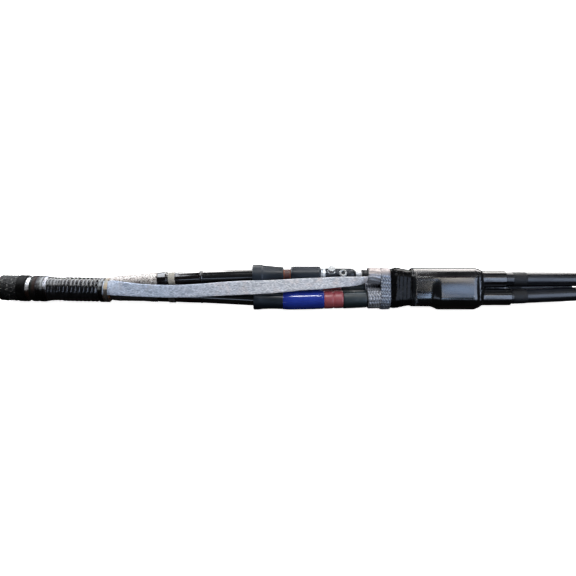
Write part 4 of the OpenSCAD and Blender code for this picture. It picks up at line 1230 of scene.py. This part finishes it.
def skin_piece(name, stations, xs, n, field, material, replaces=(), inner=None, closed_ends=True, smooth_by=3.0):
    """stations: [x, d0, d1, d2, r0, r1, r2]. field(X, A) -> (height out of the skin, relief), A from 0 to 1 round it."""
    st = np.array(stations, float)

    def at(x):
        acc = 0
        for o in np.linspace(-smooth_by, smooth_by, 7):
            acc = acc + np.array([np.interp(x + o, st[:, 0], st[:, i]) for i in range(1, 7)])
        return acc / 7

    A = np.arange(n) / n
    X, AA = np.meshgrid(xs, A, indexing="ij")
    h, rel = field(X, AA)
    P = np.zeros((len(xs), n, 3))
    for i, x in enumerate(xs):
        v = at(x)
        y, z, ny, nz = outline(v[:3], v[3:], n)
        P[i] = np.stack([np.full(n, x), y + ny * h[i], AXIS_Z + z + nz * h[i]], -1)
    rows = [P]
    rels = [rel]
    if inner is not None:
        back = []
        for x, shrink in ((xs[-1], inner), (xs[0], inner)):
            v = at(x)
            y, z, ny, nz = outline(v[:3], np.maximum(v[3:] - shrink, 2), n)
            back.append(np.stack([np.full(n, x), y, AXIS_Z + z], -1))
        rows += [np.array(back)]
        rels += [np.zeros((2, n))]
        G = np.concatenate(rows)
        faces = grid_faces(len(G), n, True, True)
        return make_object(name, G, faces, material, replaces, relief=np.concatenate(rels))
    faces = [list(q) for q in grid_faces(len(xs), n, False, True)]
    if closed_ends:
        faces.append(list(range(n)))
        faces.append([(len(xs) - 1) * n + i for i in range(n - 1, -1, -1)])
    return make_object(name, P, faces, material, replaces, relief=rel)


def braid_band():
    d0 = [np.interp(217.5, q[:, 0], q[:, 1]) for q in (TOP, LOW, LOW)]
    d1 = [np.interp(240, q[:, 0], q[:, 1]) for q in (TOP, LOW, LOW)]
    st = [[216.8, *d0, 19.4, 24.8, 24.8], [217.5, *d0, 19.8, 25.2, 25.2], [220.5, *d0, 20.4, 26.3, 26.3],
          [237, *d1, 21.0, 27.2, 27.2], [239.8, *d1, 20.3, 26.4, 26.4], [241, *d1, 19.6, 25.6, 25.6]]
    xs = np.arange(217.2, 240.4, .52)

    def field(X, A):
        a, b = herring(X, A, 38, 6.4, 231, .9)
        lump = lattice(X / 7, A * 34, 232, 34)
        h = a * b * (.7 + .4 * lump)
        top = np.minimum(A, 1 - A)
        calm = 1 - smooth01((top - .05) / .05)
        h = h * (1 - .75 * calm) + calm * (.55 + .25 * waves(X, A * TAU, 233, 5, .3, 12))
        return -.9 + 1.9 * h, np.clip(h, 0, 1)

    skin_piece("coarse_band", st, xs, 360, field, MAT["band_braid"], ["bundle_braid_band"], inner=5.0, smooth_by=1.2)


def tape_wrap():
    st = [[239.6, 29, 26.3, 26.3, 19.6, 22.6, 22.6], [240.2, 29, 26.3, 26.3, 19.6, 22.6, 22.6], [246, 28.4, 26, 26, 21.8, 24.8, 24.8],
          [254, 27.6, 25.6, 25.6, 25.2, 25.4, 25.4], [262, 26.7, 25.2, 25.2, 24.6, 24.2, 24.2], [272, 25.6, 24.7, 24.7, 23.6, 22.6, 22.6],
          [288, 24.2, 24.1, 24.1, 22.0, 20.4, 20.4], [300, 24, 24, 24, 23.0, 19.4, 19.4], [306, 24, 24, 24, 22.6, 18.6, 18.6]]
    xs = np.arange(240.0, 306, .62)

    def field(X, A):
        lap = (X - 240) / 9.5 + A
        i = np.floor(lap)
        f = lap - i
        step = .8 * smooth01(f * 2.6) - .8 * f
        wr = waves(X, A * TAU, 241, 9, .9, 22)
        pinch = lattice(X / 6.5 + (i - A) * 3.1, A * 30, 242, 30)
        ridge = 1 - np.abs(2 * lattice(X / 6.2, A * 22, 243, 22) - 1)
        h = .9 * step + .1 * wr + .3 * (pinch - .5) + .45 * (ridge - .6)
        fade = 1 - smooth01((X - 292) / 6)
        return h * fade, np.clip(.5 + .35 * h, 0, 1)

    skin_piece("mastic_tape_laps", st, xs, 240, field, MAT["wrap_black"], ["bundle_tape_wrap"], inner=4.0, smooth_by=2.5)


def boot():
    st = [[289.8, 24, 24, 24, 25.0, 22.0, 22.0], [290.5, 24, 24, 24, 25.8, 22.5, 22.5], [294, 24, 24, 24, 27.1, 23.0, 23.0],
          [338, 24, 24, 24, 27.7, 23.3, 23.3], [346, 24, 24, 24, 27.7, 26.6, 26.6], [354, 24, 24, 24, 27.7, 30.4, 30.4],
          [440, 24, 24, 24, 27.7, 30.4, 30.4], [447, 24, 24, 24, 26.1, 28.2, 28.2], [454, 24, 24, 24, 23.4, 24.4, 24.4],
          [459, 24, 24, 24, 20.6, 20.6, 20.6], [461, 24, 24, 24, 19.4, 19.4, 19.4]]
    xs = np.concatenate([np.arange(290.4, 300, .8), np.arange(300, 436, 2.0), np.arange(436, 460.1, .8)])

    def field(X, A):
        lip = .2 * np.exp(-((X - 294.5) / 2.0) ** 2)
        soft = .22 * waves(X, A * TAU, 251, 7, .035, 4)
        knobs = lattice(X / 2.6, A * 54, 252, 54)
        bead = 1.0 * np.exp(-((X - 451.5) / 3.4) ** 2) * knobs ** 1.5
        crease = -.5 * np.exp(-((X - 446.5) / 1.6) ** 2)
        flat = np.abs(((A * 3) % 1) - .5) / .34
        crown = 2.1 * np.clip(1 - flat ** 2, 0, 1) * smooth01((X - 290) / 9) * (1 - smooth01((X - 432) / 16))
        # the underside stays flat, as the joint lies on it
        under = smooth01((A - .315) / .03) * (1 - smooth01((A - .655) / .03))
        return (lip + soft + crown) * (1 - under) + bead * (1 - .7 * under) + crease, X * 0 + .5

    skin_piece("boot_body", st, xs, 216, field, MAT["boot_black"], ["breakout_boot"], inner=3.4, smooth_by=2.2)
    # the fingers grow out of the body's end wall
    verts, faces, base = [], [], 0
    th = np.arange(78) / 78 * TAU
    for k in range(3):
        e = 514.5 if k == 0 else 526.5
        prof = fillet([(449, 20.6), (455.5, 20.9), (458.5, 21.1), (462, 20.55), (e - 1.8, 20.2), (e - .6, 19.9), (e, 19.0), (e, 16.6), (449, 16.6)], .5, 8.0)
        X, T = np.meshgrid(prof[:, 0], th, indexing="ij")
        R = prof[:, 1][:, None] + np.where(prof[:, 1][:, None] > 18, .1, 0) * waves(X, T, 261 + k, 6, .07, 3)
        P = ring_points(k, prof[:, 0], R, th)
        verts.append(P.reshape(-1, 3))
        faces.append(grid_faces(len(prof), 78, True, True, base))
        base += P.shape[0] * P.shape[1]
    # end wall between the fingers
    v = outline(np.array([24, 24, 24.]), np.array([20.0, 20.0, 20.0]), 78)
    wall = []
    for s, x in ((1, 458.9), (.8, 459.6), (.5, 460.0), (.02, 460.0)):
        wall.append(np.stack([np.full(78, x), v[0] * s, AXIS_Z + v[1] * s], -1))
    for s, x in ((.02, 452), (1, 452)):
        wall.append(np.stack([np.full(78, x), v[0] * s, AXIS_Z + v[1] * s], -1))
    W = np.array(wall)
    verts.append(W.reshape(-1, 3))
    wf = grid_faces(len(W), 78, True, True, base)
    faces.append(wf)
    make_object("boot_fingers", np.concatenate(verts), np.concatenate(faces), MAT["boot_black"], ["breakout_boot"])


def finger_tapes():
    for k in range(3):
        xs = np.arange(531.8, 564.3, .8)

        def outer(X, T):
            lap = (X - 532) / 13.0 + T / TAU
            f = lap - np.floor(lap)
            end = smooth01((X - 531.6) / 1.4) * (1 - smooth01((X - 562.8) / 1.6))
            return 16.55 + end * (.42 + .22 * smooth01(f * 8) - .22 * f + .07 * waves(X, T, 271 + k, 6, .4, 6)), f

        tube_field("finger_tape_" + NAMES[k], k, xs, 72, outer, 16.45, MAT["finger_tape"], ["finger_end_tapes"])


finish_cad_nodes()
jute()
serving_tape()
armour()
armour_collar()
bond_braid()
spring("bond_roll_spring", -591, -579, 29.85, .5, 2, ["armour_roll_spring"], 1.1)
rubber_laps()
spring("crutch_roll_spring", -448.8, -438.4, 27.3, .7, 2, ["sheath_roll_spring"], 4.4)
cord_bindings()
earth_braid()
core_sleeves()
conductors()
bolts()
cables()
cuffs()
braid_band()
tape_wrap()
boot()
finger_tapes()

# ---------------------------------------------------------------- studio

floor_m = Mat("floor_pale", Specular_IOR_Level=.0, Roughness=.9, Emission_Color=(1, 1, 1), Emission_Strength=.95)
fn = floor_m.noise(3, (1, 1, 1), 2, .5)
floor_m.set(Base_Color=floor_m.mix(floor_m.span(fn, .3, .7), (.86, .86, .86), (.88, .88, .88)))
fm = bpy.data.meshes.new("floor")
fm.from_pydata([(-70, -70, 0), (70, -70, 0), (70, 70, 0), (-70, 70, 0)], [], [(0, 1, 2, 3)])
fm.materials.append(floor_m.m)
floor = bpy.data.objects.new("floor", fm)
bpy.context.scene.collection.objects.link(floor)
floor.visible_glossy = False
floor.visible_diffuse = False

world = bpy.data.worlds.new("studio")
bpy.context.scene.world = world
world.use_nodes = True
wt = world.node_tree
wt.nodes.clear()
wo = wt.nodes.new("ShaderNodeOutputWorld")
bg = wt.nodes.new("ShaderNodeBackground")
tc = wt.nodes.new("ShaderNodeTexCoord")
sx = wt.nodes.new("ShaderNodeSeparateXYZ")
rp = wt.nodes.new("ShaderNodeValToRGB")
mr = wt.nodes.new("ShaderNodeMapRange")
mr.inputs["From Min"].default_value = -1
mr.inputs["From Max"].default_value = 1
wt.links.new(tc.outputs["Generated"], sx.inputs[0])
wt.links.new(sx.outputs[2], mr.inputs["Value"])
wt.links.new(mr.outputs[0], rp.inputs["Fac"])
el = rp.color_ramp.elements
el[0].position, el[0].color = 0.0, (.020, .018, .018, 1)
el[1].position, el[1].color = 1.0, (.065, .07, .08, 1)
for pos, col in ((.48, (.025, .023, .024, 1)), (.53, (.04, .045, .055, 1)), (.75, (.05, .055, .065, 1))):
    e = el.new(pos)
    e.color = col
wt.links.new(rp.outputs["Color"], bg.inputs["Color"])
bg.inputs["Strength"].default_value = 1.0
wt.links.new(bg.outputs[0], wo.inputs[0])


def area(name, loc, aim, sx, sy, radiance, color=(1, 1, 1), glossy=True, diffuse=True):
    d = bpy.data.lights.new(name, "AREA")
    d.shape = "RECTANGLE"
    d.size, d.size_y = sx, sy
    d.energy = radiance * sx * sy * math.pi
    d.color = color
    o = bpy.data.objects.new(name, d)
    bpy.context.scene.collection.objects.link(o)
    o.location = loc
    o.rotation_euler = (Vector(aim) - Vector(loc)).to_track_quat("-Z", "Y").to_euler()
    o.visible_glossy = glossy
    o.visible_diffuse = diffuse
    o.visible_camera = False
    return o


def polar(angle, dist):
    """A point dist away, angle degrees from the zenith towards the camera side."""
    a = math.radians(angle)
    return (0, -dist * math.sin(a), .045 + dist * math.cos(a))


AIM = (0, 0, .045)
sun_data = bpy.data.lights.new("soft_sky", "SUN")
sun_data.angle = math.radians(84)
sun_data.energy = 3.7
sun = bpy.data.objects.new("soft_sky", sun_data)
bpy.context.scene.collection.objects.link(sun)
sun.rotation_euler = (Vector((0, 0, 0)) - Vector(polar(8, 3))).to_track_quat("-Z", "Y").to_euler()
sun.visible_glossy = False


def card(name, angles, xs, dist, radiance, color=(1, 1, 1)):
    """A gloss card from one polar angle to another and from one x to another, dist away from the joint."""
    mid = (angles[0] + angles[1]) / 2
    width = 2 * dist * math.tan(math.radians(abs(angles[1] - angles[0]) / 2))
    x = (xs[0] + xs[1]) / 2
    at = Vector(polar(mid, dist)) + Vector((x, 0, 0))
    return area(name, at, (x, 0, .045), abs(xs[1] - xs[0]), width, radiance, color, True, False)


card("line_behind_left", (-68, -42), (-.95, -.30), 2.6, 8, (1, .975, .95))
card("line_behind_right", (-68, -42), (.58, 3), 2.6, 8, (1, .975, .95))
card("line_front", (60, 67), (1.29, 1.42), 2.4, 9, (.80, .90, 1))
card("cable_soft", (40, 92), (1.42, 3), 2.4, 4.4, (.70, .84, 1.12))
card("band_zenith", (8, 26), (1.40, 3), 2.4, .8, (.92, .96, 1))
card("line_blue", (9, 14), (-.08, .38), 2.4, 44)
card("line_sleeve", (-20, -8), (.37, .57), 2.4, 22, (.9, .96, 1.05))
card("box_left", (-66, -36), (-.58, -.32), 1.1, 10)
card("box_rings", (-54, 20), (-1.14, -.64), 1.1, 9, (.92, .96, 1.03))
card("box_jute", (-60, 20), (-1.62, -1.18), 1.1, 8, (.95, .975, 1))
card("tube_low", (80, 90), (-.60, -.18), 1.1, 2.4, (.7, .85, 1.1))
card("wrap_high", (-20, -8), (.71, .80), 2.4, 14)
card("wrap_low", (24, 30), (.68, .74), 2.4, 60)
card("boot_top", (-44, -23), (.83, 1.38), 2.4, 8.5, (1, .96, .93))
card("boot_patch", (57, 76), (.848, .90), 2.0, 11, (1, .93, .86))
card("boot_blob", (81, 89), (.81, .91), 2.0, 18, (.62, .84, 1.2))
card("boot_beige", (38, 45), (.90, 1.25), 2.0, 8.5, (1, .93, .84))
card("boot_blue", (49, 57), (.90, 1.25), 2.0, 4.6, (.62, .84, 1.25))
card("boot_fade", (57, 74), (.90, 1.25), 2.0, 1.9, (.62, .84, 1.25))
area("front_fill", (.20, -.90, .25), (.20, 0, .045), .3, .3, 3, (.94, .97, 1), False, True)

scene = bpy.context.scene
scene.view_settings.view_transform = "Standard"
scene.view_settings.look = "None"
scene.view_settings.exposure = 0.0
scene.view_settings.gamma = 1.0
